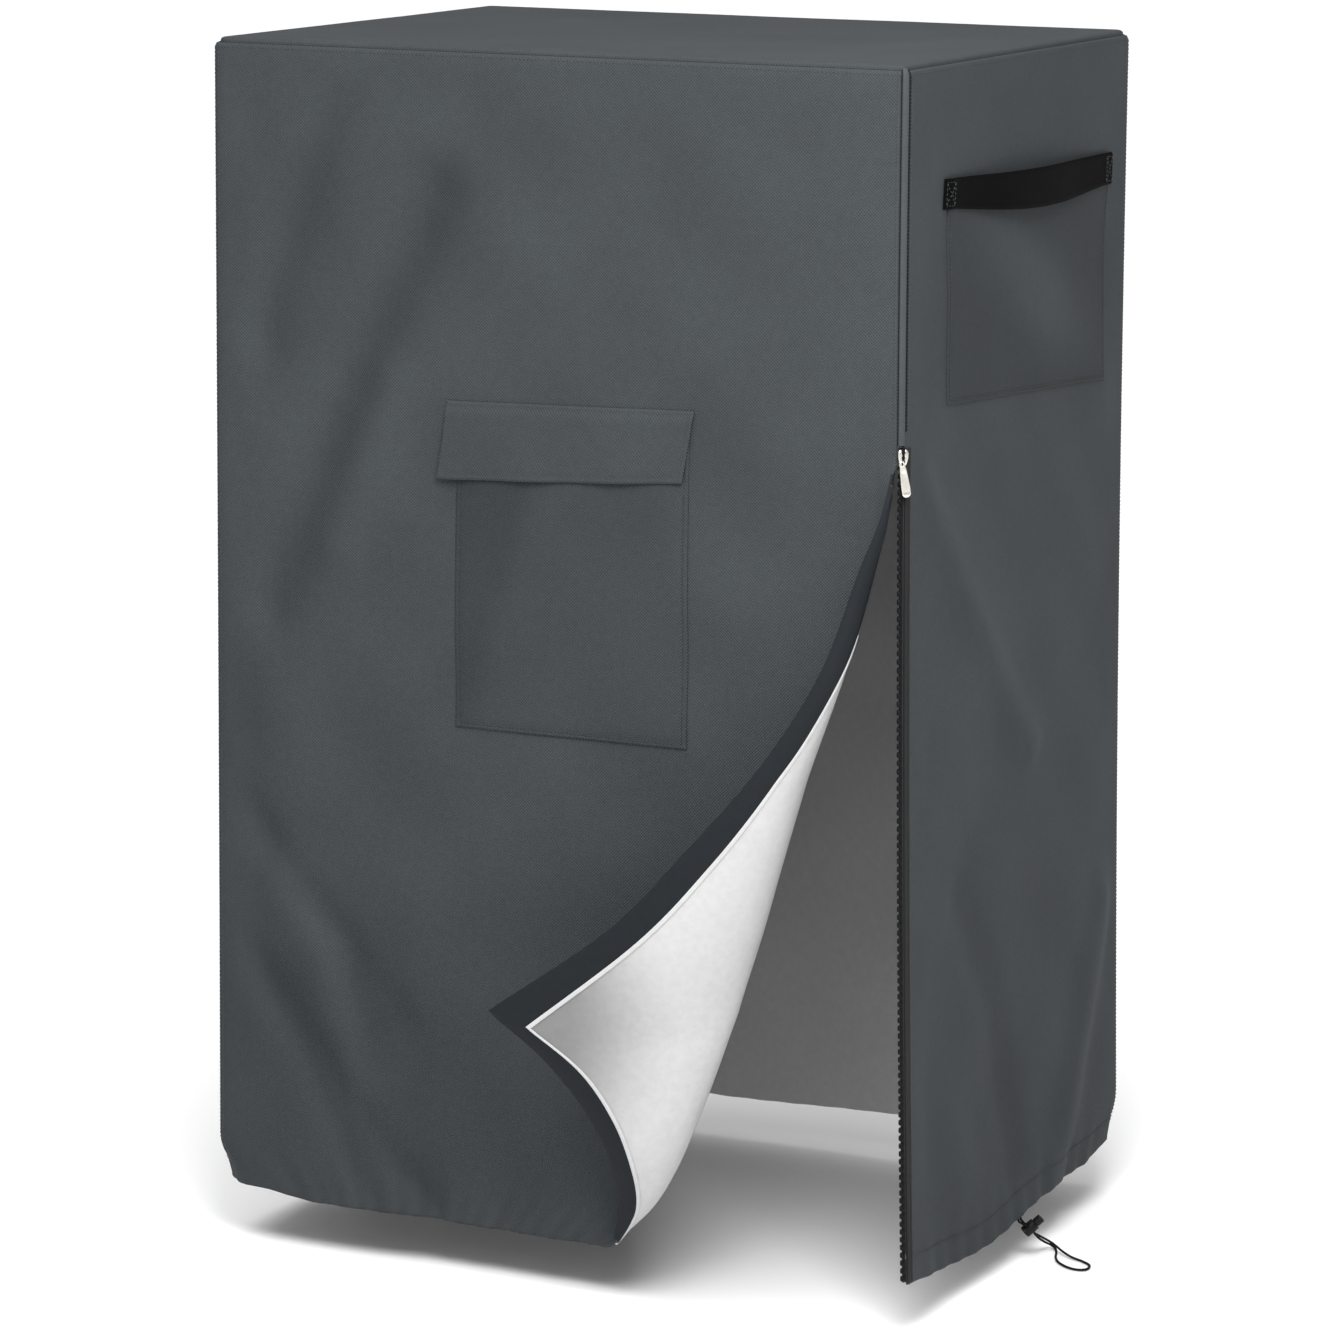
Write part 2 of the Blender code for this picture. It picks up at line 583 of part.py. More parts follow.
def build_facings(dark):
    """Dark facings along the folded corner's free edges, on the lining's side, mitred at the tip."""
    for name, low, high in (("zip_facing", FACING_TOP, TIP_DROP), ("hem_facing", TIP_DROP, FACING_BOTTOM)):
        drops = np.array(part_of(FRONT_DROPS, low, high))
        drops[drops == TIP_DROP] += GAP * (-1 if high == TIP_DROP else 1)
        drops = drops[:, None]
        bare = fold_value("bare", drops)
        u = FOOT + (FRONT_END - FOOT) * np.concatenate([bare, (1 + bare) / 2, 1 + 0 * bare], 1)
        make_layer(name, front_cloth, u, drops, -CLOTH - GAP - FACING, -CLOTH - GAP, dark)


def build_zip(dark, metal):
    """The closed zip's welt, the open half's tape and teeth, and the slider with its pull."""
    half_turn = WELT_WIDTH / ZIP_CORNER / 2
    flat = WIDTH / 2 - ZIP_CORNER

    def corner(turn, drop):
        return wall("front", flat + ZIP_CORNER * turn, drop)

    turns = np.linspace(SEAM_TURN - half_turn, SEAM_TURN + half_turn, 5)[None, :]
    end = SLIDER_DROP - SLIDER_HALF
    drops = np.array([top_seam_drop(), *[d for d in FRONT_DROPS if d < end - SLIDER_HALF], end])[:, None]
    make_layer("zip_welt", corner, turns, drops, -WELT_BACK, WELT_PROUD, dark)
    between = [d for d in RIGHT_DROPS if TAPE_TOP < d < TAPE_BOTTOM]
    lower = np.array([TAPE_TOP, *between, TAPE_BOTTOM])[:, None]
    start = -(DEPTH / 2 - ZIP_CORNER)
    edge = seam_along("right", -1)
    columns = np.array([*(start - ZIP_CORNER * np.array(TAPE_TURNS)), edge, start, start + TAPE_UNDER])
    make_layer("zip_tape", right_cloth, columns[None, :], lower, -CLOTH - GAP - TAPE, -CLOTH - GAP, dark)
    teeth = start - ZIP_CORNER * np.array(TEETH_TURN[::-1])
    make_layer("zip_teeth", right_cloth, teeth[None, :], lower, -CLOTH, TEETH_PROUD, dark)
    build_slider(metal)


def build_slider(metal):
    """A flat die-cast slider across the corner and the pull that hangs in front of it."""
    across = np.array([math.sqrt(0.5), math.sqrt(0.5), 0.0])
    out = np.array([math.sqrt(0.5), -math.sqrt(0.5), 0.0])
    down = np.array([0.0, 0.0, -1.0])
    centre = wall("front", WIDTH / 2 - ZIP_CORNER + ZIP_CORNER * SEAM_TURN, SLIDER_DROP)
    build_plate("zip_slider", centre, across, down, out, SLIDER_OUTLINE, WELT_PROUD + GAP, SLIDER, metal)
    pull_down = math.cos(PULL_TILT) * down + math.sin(PULL_TILT) * across
    pull_across = math.cos(PULL_TILT) * across - math.sin(PULL_TILT) * down
    lift = WELT_PROUD + SLIDER + 2 * GAP
    hung = centre + PULL_DROP * down - PULL_ASIDE * across
    build_plate("zip_pull", hung, pull_across, pull_down, out, PULL_OUTLINE, lift, PULL, metal)


def build_plate(name, centre, across, down, out, outline, lift, thickness, material):
    """A flat plate of an outline, standing off a surface by lift."""
    base = [centre + x * across + y * down + lift * out for x, y in outline]
    top = [p + thickness * out for p in base]
    count = len(outline)
    faces = [tuple(range(count)), tuple(range(2 * count - 1, count - 1, -1))]
    faces += [(i, (i + 1) % count, count + (i + 1) % count, count + i) for i in range(count)]
    make_object(name, base + top, faces, material, smooth=False)


def build_front_pocket(cloth):
    """The front's patch pocket, fullest at its middle, with one slanting ridge."""
    drops = part_of(FRONT_DROPS, POCKET_TOP, POCKET_BOTTOM)[:, None]
    columns = part_of(FRONT_ALONG, POCKET_LEFT, POCKET_RIGHT)[None, :]
    s = (columns - POCKET_LEFT) / (POCKET_RIGHT - POCKET_LEFT)
    t = (drops - POCKET_TOP) / (POCKET_BOTTOM - POCKET_TOP)
    full = POCKET_FULL * np.sin(np.pi * s) * np.sqrt(np.sin(np.pi * t).clip(0))
    off = (s - POCKET_RIDGE_LINE[0] + POCKET_RIDGE_LINE[1] * t) / POCKET_RIDGE_WIDTH
    full = full + POCKET_RIDGE * np.exp(-off ** 2) * np.sin(np.pi * t) ** 2 * np.sin(np.pi * s)
    make_layer("front_pocket", front_cloth, columns, drops, GAP + full, GAP + full + POCKET_CLOTH, cloth)


def build_flap(cloth):
    """The pocket's flap. It slopes up to the right, its ends slant and its lower edge waves."""
    drops = part_of(FRONT_DROPS, FLAP_TOP, FLAP_BOTTOM)[:, None]
    columns = part_of(FRONT_ALONG, FLAP_LEFT, POCKET_RIGHT)[None, :]
    s = ((columns - POCKET_LEFT) / (POCKET_RIGHT - POCKET_LEFT)).clip(0, 1)
    t = (drops - FLAP_TOP) / (FLAP_BOTTOM - FLAP_TOP)
    over = np.where(drops > FLAP_TOP, POCKET_CLOTH + GAP, 0.0)
    full = POCKET_FULL * np.sin(np.pi * s)
    wave = FLAP_SWING[0] + FLAP_SWING[1] * np.cos(FLAP_WAVES * np.pi * s)
    low = GAP + over + full * t + FLAP_LIFT * t ** 2 * wave
    tilt = FLAP_TILT[0] + (FLAP_TILT[1] - FLAP_TILT[0]) * t
    sloped = drops + tilt * (1 - 2 * s)
    slanted = columns + FLAP_SLANT * (1 - 2 * t)
    make_layer("pocket_flap", front_cloth, slanted, sloped, low, low + POCKET_CLOTH, cloth)


def build_side_pocket(cloth):
    """The right wall's patch pocket, with one slanting fold."""
    drops = part_of(RIGHT_DROPS, SIDE_POCKET_TOP, SIDE_POCKET_BOTTOM)[:, None]
    columns = part_of(RIGHT_ALONG, SIDE_POCKET_FRONT, SIDE_POCKET_BACK)[None, :]
    s = (columns - SIDE_POCKET_FRONT) / (SIDE_POCKET_BACK - SIDE_POCKET_FRONT)
    t = (drops - SIDE_POCKET_TOP) / (SIDE_POCKET_BOTTOM - SIDE_POCKET_TOP)
    fold = np.exp(-((s - SIDE_FOLD_START - SIDE_FOLD_SLANT * t) / SIDE_FOLD_WIDTH) ** 2)
    full = SIDE_FOLD * fold * np.sqrt(np.sin(np.pi * s).clip(0)) * np.sin(np.pi * t)
    make_layer("side_pocket", right_cloth, columns, drops, GAP + full, GAP + full + POCKET_CLOTH, cloth)


def strap_points(s, w):
    """Place on the strap's inner face: s from front to back, w from its top edge to its bottom edge."""
    along = STRAP_FRONT + (STRAP_BACK - STRAP_FRONT) * s
    bow = np.sin(np.pi * np.clip((s - STRAP_SEWN) / (1 - 2 * STRAP_SEWN), 0, 1))
    sag = STRAP_SAG[0] + (STRAP_SAG[1] - STRAP_SAG[0]) * w
    drop = STRAP_TOP + (STRAP_BOTTOM - STRAP_TOP) * w + sag * bow
    skin = wall("right", along, side_drop(along, drop))
    on_pocket = (along > SIDE_POCKET_FRONT - STRAP_SEAT[0]) & (along < SIDE_POCKET_BACK + STRAP_SEAT[1])
    skin[..., 0] += GAP + np.where(on_pocket, POCKET_CLOTH + GAP, 0) + STRAP_BOW * bow ** STRAP_BOW_POWER
    return skin


def build_strap(black):
    """The carry strap, sewn down over the pocket's top edge at both ends and bowed out between them."""
    length = STRAP_BACK - STRAP_FRONT
    front_seat = (SIDE_POCKET_FRONT - STRAP_FRONT) / length
    back_seat = (SIDE_POCKET_BACK - STRAP_FRONT) / length
    s = np.array([0.0, front_seat, *STRAP_STEPS, back_seat, 1.0])[:, None]
    w = np.array([0.0, 0.5, 1.0])[None, :]
    s, w = np.broadcast_arrays(s, w)
    inner = strap_points(s, w)
    outer = inner + np.array([STRAP, 0.0, 0.0])
    make_sheet("handle_strap", outer, inner, black)


def smooth_route(points, count):
    """Evenly spaced points on a smooth curve through the route's own."""
    points = np.array(points)
    ends = np.concatenate([2 * points[:1] - points[1:2], points, 2 * points[-1:] - points[-2:-1]])
    fine = []
    for i in range(len(points) - 1):
        p0, p1, p2, p3 = ends[i:i + 4]
        t = np.linspace(0, 1, CORD_FINE, endpoint=False)[:, None]
        fine.append(0.5 * (2 * p1 + (p2 - p0) * t + (2 * p0 - 5 * p1 + 4 * p2 - p3) * t ** 2
                           + (3 * p1 - p0 - 3 * p2 + p3) * t ** 3))
    fine = np.concatenate(fine + [points[-1:]])
    length = np.concatenate([[0], np.cumsum(np.linalg.norm(np.diff(fine, axis=0), axis=1))])
    even = np.linspace(0, length[-1], count)
    return np.stack([np.interp(even, length, fine[:, k]) for k in range(3)], -1)


def build_cord(black):
    """The drawcord's free loop."""
    curve = bpy.data.curves.new("cord_loop", "CURVE")
    curve.dimensions = "3D"
    curve.bevel_depth = CORD / 2
    curve.bevel_resolution = 2
    curve.use_fill_caps = True
    route = smooth_route(CORD_ROUTE, CORD_STEPS)
    spline = curve.splines.new("POLY")
    spline.points.add(len(route) - 1)
    for point, place in zip(spline.points, route):
        point.co = (*place, 1.0)
    curve.materials.append(black)
    cord = bpy.data.objects.new("cord_loop", curve)
    bpy.context.scene.collection.objects.link(cord)


def turned(name, profile, centre, axis, sides, material):
    """A round body from a profile of radius and height, standing along an axis."""
    axis = axis / np.linalg.norm(axis)
    first = np.cross(axis, LOCK_CHANNEL)
    first = first / np.linalg.norm(first)
    second = np.cross(axis, first)
    angles = np.linspace(0, 2 * np.pi, sides, endpoint=False)
    ring = np.cos(angles)[:, None] * first + np.sin(angles)[:, None] * second
    vertices = [centre + height * axis + radius * p for radius, height in profile for p in ring]
    faces = [tuple(range(sides)), tuple((len(profile) - 1) * sides + i for i in range(sides))]
    for k in range(len(profile) - 1):
        for i in range(sides):
            j = (i + 1) % sides
            faces.append((k * sides + i, k * sides + j, (k + 1) * sides + j, (k + 1) * sides + i))
    return make_object(name, vertices, faces, material)


def build_lock(black):
    """The cord lock: a round body with a slot that both strands pass through, and its sprung button."""
    r = LOCK_RADIUS
    profile = ((r - LOCK_EDGE, -LOCK_BELOW), (r, LOCK_EDGE - LOCK_BELOW), (r, LOCK_ABOVE - LOCK_EDGE),
               (r - LOCK_EDGE, LOCK_ABOVE))
    body = turned("cord_lock", profile, LOCK_CENTRE, LOCK_AXIS, LOCK_SIDES, black)
    axis = LOCK_AXIS / np.linalg.norm(LOCK_AXIS)
    channel = LOCK_CHANNEL / np.linalg.norm(LOCK_CHANNEL)
    across = np.cross(channel, axis)
    end = LOCK_SLOT[1] / 2
    straight = LOCK_SLOT[0] / 2 - end
    turns = np.linspace(-np.pi / 2, np.pi / 2, 6)
    outline = [(straight + end * np.cos(a), end * np.sin(a)) for a in turns]
    outline += [(-x, -y) for x, y in outline]
    count = len(outline)
    base = [LOCK_CENTRE + x * across + y * axis - LOCK_SLOT_LENGTH / 2 * channel for x, y in outline]
    tip = [p + LOCK_SLOT_LENGTH * channel for p in base]
    faces = [tuple(range(count)), tuple(range(2 * count - 1, count - 1, -1))]
    faces += [(i, (i + 1) % count, count + (i + 1) % count, count + i) for i in range(count)]
    cutter = make_object("lock_slot_cutter", base + tip, faces, black, smooth=False)
    cutter.hide_render = True
    cutter.display_type = "WIRE"
    cut = body.modifiers.new("Slot", "BOOLEAN")
    cut.operation = "DIFFERENCE"
    cut.object = cutter
    q = PLUNGER_RADIUS
    top = LOCK_ABOVE + PLUNGER
    button = ((q, LOCK_ABOVE + GAP), (q, top - LOCK_EDGE), (q - LOCK_EDGE, top))
    turned("lock_plunger", button, LOCK_CENTRE, LOCK_AXIS, PLUNGER_SIDES, black)


def main():
    for item in list(bpy.data.objects):
        bpy.data.objects.remove(item, do_unlink=True)
    cloth = make_material("coated_cloth", DARK_CLOTH, 0.75)
    pocket_cloth = make_material("pocket_cloth", POCKET_DARK, 0.75)
    facing_cloth = make_material("facing_cloth", FACING_DARK, 0.7)
    webbing = make_material("black_webbing", BLACK_WEBBING, 0.8)
    plastic = make_material("black_plastic", BLACK_PLASTIC, 0.4)
    cord = make_material("black_cord", BLACK_WEBBING, 0.7)
    nickel = make_material("pale_nickel", PALE_NICKEL, 0.3, 1.0)
    build_top(cloth)
    build_front(cloth)
    build_right(cloth)
    build_plain_wall("back_panel", "back", cloth)
    build_plain_wall("left_panel", "left", cloth)
    build_facings(facing_cloth)
    build_zip(facing_cloth, nickel)
    build_front_pocket(pocket_cloth)
    build_flap(cloth)
    build_side_pocket(pocket_cloth)
    build_strap(webbing)
    build_cord(cord)
    build_lock(plastic)


main()
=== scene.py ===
import math

import bmesh
import bpy
import numpy as np
from mathutils import Matrix, Vector


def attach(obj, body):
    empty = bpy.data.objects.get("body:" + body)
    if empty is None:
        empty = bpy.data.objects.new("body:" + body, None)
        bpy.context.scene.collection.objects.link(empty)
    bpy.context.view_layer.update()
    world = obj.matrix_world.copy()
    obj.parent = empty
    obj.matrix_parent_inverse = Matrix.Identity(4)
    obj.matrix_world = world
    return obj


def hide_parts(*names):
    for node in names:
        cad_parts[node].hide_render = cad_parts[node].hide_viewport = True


# Evaporative cooler cover: its cloth, seams, zip, pockets, carry strap and drawcord.
#
# Every cloth piece is a sheet between two heights over one outer skin. On a wall, "along" runs left to right
# as seen from outside and "drop" runs down from the rim, both in metres. The skin has the sizes and folds of
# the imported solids, with a finer grid, grooved seams and small ripples added.

bl_info = {
    "name": "Evaporative cooler cover",
    "version": (1, 0, 0),
    "blender": (4, 5, 0),
    "location": "3D View > Sidebar > Cover",
    "description": "Makes a fitted cloth cover with a half-open corner zip",
    "category": "Object",
}

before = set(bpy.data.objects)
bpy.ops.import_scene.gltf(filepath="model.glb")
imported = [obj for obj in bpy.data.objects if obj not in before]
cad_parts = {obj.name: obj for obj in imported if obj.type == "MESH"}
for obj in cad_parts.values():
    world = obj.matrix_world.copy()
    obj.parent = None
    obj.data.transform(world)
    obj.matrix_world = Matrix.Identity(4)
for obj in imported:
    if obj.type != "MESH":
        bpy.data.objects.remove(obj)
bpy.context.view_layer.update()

# Main sizes, in metres
WIDTH = 0.612
DEPTH = 0.495
HEIGHT = 0.967
RIM = 0.005
CLOTH = 0.002
GAP = 0.0003

# Corners and edges
EDGE_CURL = 0.010
CORNER = 0.012
CORNER_DRAWN = 0.040
ZIP_CORNER = 0.008
DRAWN_FROM = 0.920
DRAWN_LIFT = 0.006
DRAWN_WIDTH = 0.060
SEAM_TURN = math.pi / 4
TOP_SAG = 0.003

# How far the hem stands out past the rim on each side, inwards where it is negative
FLARE = {"left": 0.004, "right": 0.014, "front": -0.004, "back": -0.003}

# Seams, hems and stitches
SEAM_GROOVE = 0.0018
SEAM_HALF = 0.0016
SEAM_STEPS = np.array([0.0, 0.0006, 0.0012, 0.0018, 0.0026, 0.0038, 0.0058])
SEAM_ENDS = 0.010
TOPSTITCH = 0.0055
HEM = 0.022
HEM_PROUD = 0.0004
HEM_DRAWN = 0.0006
HEM_DRAWN_HALF = 0.0014
HEM_ENDS = 0.05
EDGE_ROUND = 0.0010
ROWS_STEP = 0.0085
COLUMNS_STEP = 0.0085
NORMAL_STEP = 0.0001
SHARP_ANGLE = math.radians(50)

# Stitches: places and sizes of a stitch's rings, its length and radius, how far it is raised, and how far
# rows lie from edges. Dark thread lies down in the seams; beside the welt a wider dark thread is painted
# shadow of the welt.
STITCH_ALONG = np.array([-0.9, -0.5, 0.5, 0.9])
STITCH_SIZE = np.array([0.45, 0.95, 0.95, 0.45])
STITCH_SIDES = 6
STITCH = (0.0026, 0.00030)
STITCH_LIFT = 0.00012
PATCH_LIFT = 0.00002
STRAP_LIFT = 0.0001
HEM_STITCHES_STOP = 0.02
ZIP_STITCHES = 0.002
ZIP_INSETS = (0.0046, 0.002, 0.004)
SEAM_THREAD = (0.0030, 0.00045)
SEAM_THREAD_PITCH = 0.0028
SEAM_THREAD_INSET = 0.0006
SEAM_THREAD_LIFT = 0.0002 - SEAM_GROOVE
WELT_SHADOW_THREAD = (0.0030, 0.0013)
WELT_THREAD_INSETS = (0.0002, 0.0016)
WELT_THREAD_LIFTS = (-0.0006, -0.0008)

# The top: rings of its curl and of its middle, columns on each side, and slight waves (across, down, start
# and height)
TOP_CURLS = 7
TOP_RINGS = 25
TOP_COLUMNS = 60
TOP_MIDDLE = 0.04
TOP_WAVES = ((31, 17, 0.0, 0.0006), (-23, 37, 1.0, 0.0005))
TOP_WAVES_GROW = 4

# Zip
WELT_WIDTH = 0.006
WELT_PROUD = 0.001
WELT_BACK = 0.0015
WELT_TURNED = 0.004
SLIDER_DROP = 0.301
SLIDER_HALF = 0.008
SLIDER = 0.0030
PULL = 0.0014
PULL_DROP = 0.0036
PULL_ASIDE = 0.0022
PULL_TILT = math.radians(10)
TAPE = 0.001
TAPE_TOP = 0.318
TAPE_BOTTOM = HEIGHT - 0.002
TAPE_UNDER = 0.008
TAPE_TURN = math.radians(52)
TAPE_OUTSIDE = 0.0105
TAPE_PROUD = 0.0005
TEETH_TURN = (math.radians(43), math.radians(69))
TEETH_PROUD = 0.0012
TOOTH_PITCH = 0.0064
TOOTH = 0.0042

# Folded-out corner
FOOT = 0.283
FOLD_DIRECTION = np.array([0.939, 0.0, -0.343])
FOLD_REACH = 0.667
FOLD_PULL = 0.45
FOLD_START = 0.020
TIP_DROP = 0.744
FOLD_COLUMNS = np.concatenate([np.linspace(0, 0.97, 52)[1:], [0.98, 0.99, 0.995, 1.0]])
FOLD_ROWS_STEP = 0.0068
KEPT_ALONG = (0.130, -0.240)
KEPT_DROPS = (0.560, 0.800)

# Facings and piping on the lining, which stops above LINING_TOP and is painted darker near the tip as shade:
# how near and how far from it, and the tone that is left there
FACING = 0.001
FACING_TOP = 0.306
FACING_PAST = 0.10
FACING_STEP = 0.005
FACING_ACROSS = np.concatenate([[0.0, 0.02, 0.05, 0.1], np.linspace(0.2, 0.9, 8), [0.97, 1.0]])
FACING_END = 1.001
FACING_ROUND = 0.6
BARE_GROWS = 0.100
PIPING = 0.0020
PIPING_PROUD = 0.0004
PIPING_TOP = 0.430
PIPING_ACROSS = np.linspace(-1, 0.4, 9)
PIPING_COLUMNS = 21
LINING_TOP = 0.345
LINING_COLUMNS = 3
TIP_SHADE = (0.060, 0.165, 0.38)

# Painted light and shade on the cloth: its share by a fold's height and by its lean, and the most of it
PAINTED_SHADE_STEP = 0.001
PAINTED_SHADE_MOST = 0.28
PAINTED_SHADE_STOPS = 0.03
WALL_PAINTED_SHADE = (12.0, 0.5)
SIDE_POCKET_PAINTED_SHADE = (140.0, 0.0)
# Painted shade over the side pocket, and painted light and shade either side of the front pocket's ridge
SIDE_POCKET_PAINTED_DARK = 0.17
POCKET_PAINTED_LIGHT = 0.05
POCKET_PAINTED_SHADE = 0.20
POCKET_PAINTED_SHADE_FROM = 0.3

# Painted shade on the walls' lower part, and more of it on the left of the front
WALL_LOW_SHADE = 0.09
FRONT_LEFT_SHADE = 0.8
LOW_SHADE_FROM = 0.45
LEFT_SHADE_SIDE = 0.10
LOW_SHADE_RAMP = 0.40

# Pockets and strap
POCKET_CLOTH = 0.0015
POCKET_LEFT = -0.081
POCKET_RIGHT = 0.124
POCKET_TOP = 0.300
POCKET_BOTTOM = 0.549
POCKET_FULL = 0.003
POCKET_SEWN = 0.045
PATCH_INSET = 0.004
PATCH_LINE_HALF = 0.0012
PATCH_LINE = 0.0006
PATCH_STEPS = (0.005, 0.006)
POCKET_RIDGE = 0.0030
POCKET_RIDGE_LINE = (0.52, 0.34)
POCKET_RIDGE_WIDTH = 0.15
FLAP_LEFT = -0.093
FLAP_TOP = 0.280
FLAP_BOTTOM = 0.341
FLAP_SLANT = 0.0045
FLAP_TILT = (0.0025, 0.0055)
FLAP_LIFT = 0.0022
FLAP_WAVES = 5.5
FLAP_WAVE = (0.75, 0.5)
FLAP_OVER = 0.010
FLAP_LINE = 0.0005
FLAP_STEPS = (0.005, 0.004)
SOFT_ROUND = 0.8
SIDE_POCKET_FRONT = -0.161
SIDE_POCKET_BACK = 0.190
SIDE_POCKET_TOP = 0.1085
SIDE_POCKET_BOTTOM = 0.2806
SIDE_FOLD = 0.0040
SIDE_FOLD_WIDTH = 0.22
SIDE_FOLD_START = 0.15
SIDE_FOLD_SLANT = 0.75
SIDE_POCKET_SEWN = 0.012
SIDE_TILT = 0.0106
SIDE_TILT_FULL = 0.26
SIDE_TILT_ENDS = (0.32, 0.62)
STRAP_FRONT = -0.172
STRAP_BACK = 0.193
STRAP_TOP = 0.0957
STRAP_BOTTOM = 0.1212
STRAP = 0.002
STRAP_BOW = 0.010
STRAP_SEWN = 0.05
STRAP_SAG = (0.0010, 0.0075)
STRAP_BOW_POWER = 1.5
STRAP_SEAT = (0.006, 0.004)
STRAP_STEP = 0.004
STRAP_EDGES = np.array([0.0, 0.0005, 0.0011, 0.002])
SELVEDGE = 0.0003
SELVEDGE_INSET = 0.002
SELVEDGE_HALF = 0.0006
STRAP_BOX = (0.003, 0.017)

# Drawcord loop and its lock
CORD = 0.002
LOCK_CENTRE = np.array([0.3250, 0.0147, -0.9810])
LOCK_AXIS = np.array([0.657, 0.328, 0.679])
LOCK_CHANNEL = np.array([0.284, 0.725, -0.627])
LOCK_RADIUS = 0.0052
LOCK_BELOW = 0.0055
LOCK_ABOVE = 0.0065
LOCK_SLOT = (0.0056, 0.0029)
LOCK_SLOT_LENGTH = 0.016
PLUNGER_RADIUS = 0.0038
PLUNGER = 0.0072
CORD_POINTS = 74
CORD_SIDES = 10
CORD_UP = np.array([0.1, 0.05, 1.0])

# The lock's rounded ends and grooves, and the button: foot (inset, height), end, dish (radius, depth)
LOCK_ROUND = 0.0010
LOCK_GROOVES = (-0.0038, 0.0038, 0.0050)
LOCK_GROOVE = 0.00030
LOCK_GROOVE_HALF = 0.00028
LOCK_SHARP_ANGLE = math.radians(35)
BUTTON_FOOT = ((0.0004, 0.0), (0.0, 0.0003))
BUTTON_ROUND = 0.0011
BUTTON_DISH = ((PLUNGER_RADIUS * 0.55, 0.00005), (PLUNGER_RADIUS * 0.25, 0.0003), (0.0002, 0.0004))

# The tapes' and the welt's cloth, and a tooth: its rings (width, height, how far out) and its corners
WELT_SUNK = 0.0006
TAPE_ABOVE = 0.012
BORDER_STEP = 0.001
TOOTH_RINGS = ((1.0, 1.0, -0.9 * CLOTH), (1.0, 1.0, 0.3 * TEETH_PROUD), (0.86, 0.8, 0.8 * TEETH_PROUD),
               (0.6, 0.5, TEETH_PROUD))
TOOTH_CORNERS = np.array([(-1, -0.55), (-0.55, -1), (0.55, -1), (1, -0.55), (1, 0.55), (0.55, 1),
                          (-0.55, 1), (-1, 0.55)])

# The slider: half widths by the distance down, the wavy gap between its lobes (half width, wave and the
# wave's length), and the plate's and a lobe's rings (share of the outline and height)
SLIDER_POINTS = 40
SLIDER_MIDDLE = 0.0010
SLIDER_HALF_PLATE = 0.0068
SLIDER_OUTLINE = ((-0.0058, -0.0040, 0.0, 0.0040, 0.0078), (0.0036, 0.0046, 0.0043, 0.0038, 0.0028))
LOBE_GAP = (0.0009, 0.0003, 0.0045)
PLATE_RINGS = ((0.96, 0.0), (1.0, 0.0003), (1.0, 0.0009), (0.96, 0.0011))
LOBE_RINGS = ((0.86, 0.0007), (0.9, 0.0016), (0.8, 0.0021), (0.55, 0.00235))

# The pull: the eye at its top, then the tab's rows, columns, half widths by the distance down, soft end and
# hollow
EYE_MIDDLE = 0.0022
EYE_WIDE = 0.0017
EYE_TALL = 0.0020
EYE_WIRE = (0.0007, 0.0006)
TAB_END = 0.0262
TAB_SOFT = 0.002
TAB_DOWN = np.concatenate([np.linspace(0.0036, TAB_END, 28), [0.0270, 0.0278, 0.0283, 0.0285]])
TAB_ACROSS = np.concatenate([[-1, -0.97, -0.9, -0.78, -0.66], np.linspace(-0.5, 0.5, 5),
                             [0.66, 0.78, 0.9, 0.97, 1]])
TAB_OUTLINE = ((0.0036, 0.0070, 0.0120, 0.0200, 0.0262, 0.0276, 0.0285),
               (0.0022, 0.0027, 0.0031, 0.0036, 0.0035, 0.0027, 0.0011))
HOLLOW = 0.00035
HOLLOW_INSET = 0.0012
HOLLOW_TOP = 0.0075
HOLLOW_EASE = 0.0015

# Stage: the camera's sensor in millimetres and its reach, the floor, the sun and the softbox
SENSOR = 36.0
CAMERA_FAR = 200.0
FLOOR = -1.0066
FLOOR_HALF = 60.0
FLOOR_ROUGHNESS = 0.9
FLOOR_COLOUR = (0.9, 0.9, 0.9, 1.0)
SUN_FROM = (-0.10, -0.28, 0.95)
SUN_WIDTH = math.radians(50)
SOFTBOX_SIZE = 0.9
SOFTBOX_PLACE = (0.85, -1.4, 0.9)
SOFTBOX_FROM = (0.65, -1.2, 1.3)

# The fold from the slider down to the tip, then from the tip along the hem. Each row crosses the fold at a
# drop: where it leaves the wall, where its free edge ends, how far that stands out, and its bare share.
FOLD_ROW = ("drop", "foot", "edge_x", "edge_drop", "out", "bare")
ZIP_EDGE_ROWS = (
    (0.301, 0.2830, 0.3009, 0.3010, 0.000, 0.150),
    (0.341, 0.2815, 0.2955, 0.3440, 0.010, 0.150),
    (0.393, 0.2690, 0.2805, 0.3910, 0.020, 0.350),
    (0.456, 0.2405, 0.2604, 0.4610, 0.036, 0.700),
    (0.534, 0.2126, 0.2234, 0.5313, 0.052, 0.810),
    (0.629, 0.1860, 0.1562, 0.6164, 0.068, 0.860),
    (0.690, 0.1690, 0.0928, 0.6851, 0.078, 0.895),
    (0.744, 0.1554, -0.0054, 0.7575, 0.086, 0.905),
)
HEM_EDGE_ROWS = (
    (0.744, 0.1554, -0.0054, 0.7575, 0.086, 0.905),
    (0.788, 0.1392, 0.0356, 0.7922, 0.075, 0.870),
    (0.838, 0.1219, 0.0684, 0.8379, 0.060, 0.855),
    (0.885, 0.1048, 0.0837, 0.8832, 0.043, 0.830),
    (0.925, 0.0850, 0.0826, 0.9211, 0.026, 0.740),
    (0.967, 0.0488, 0.0704, 0.9542, 0.010, 0.600),
)

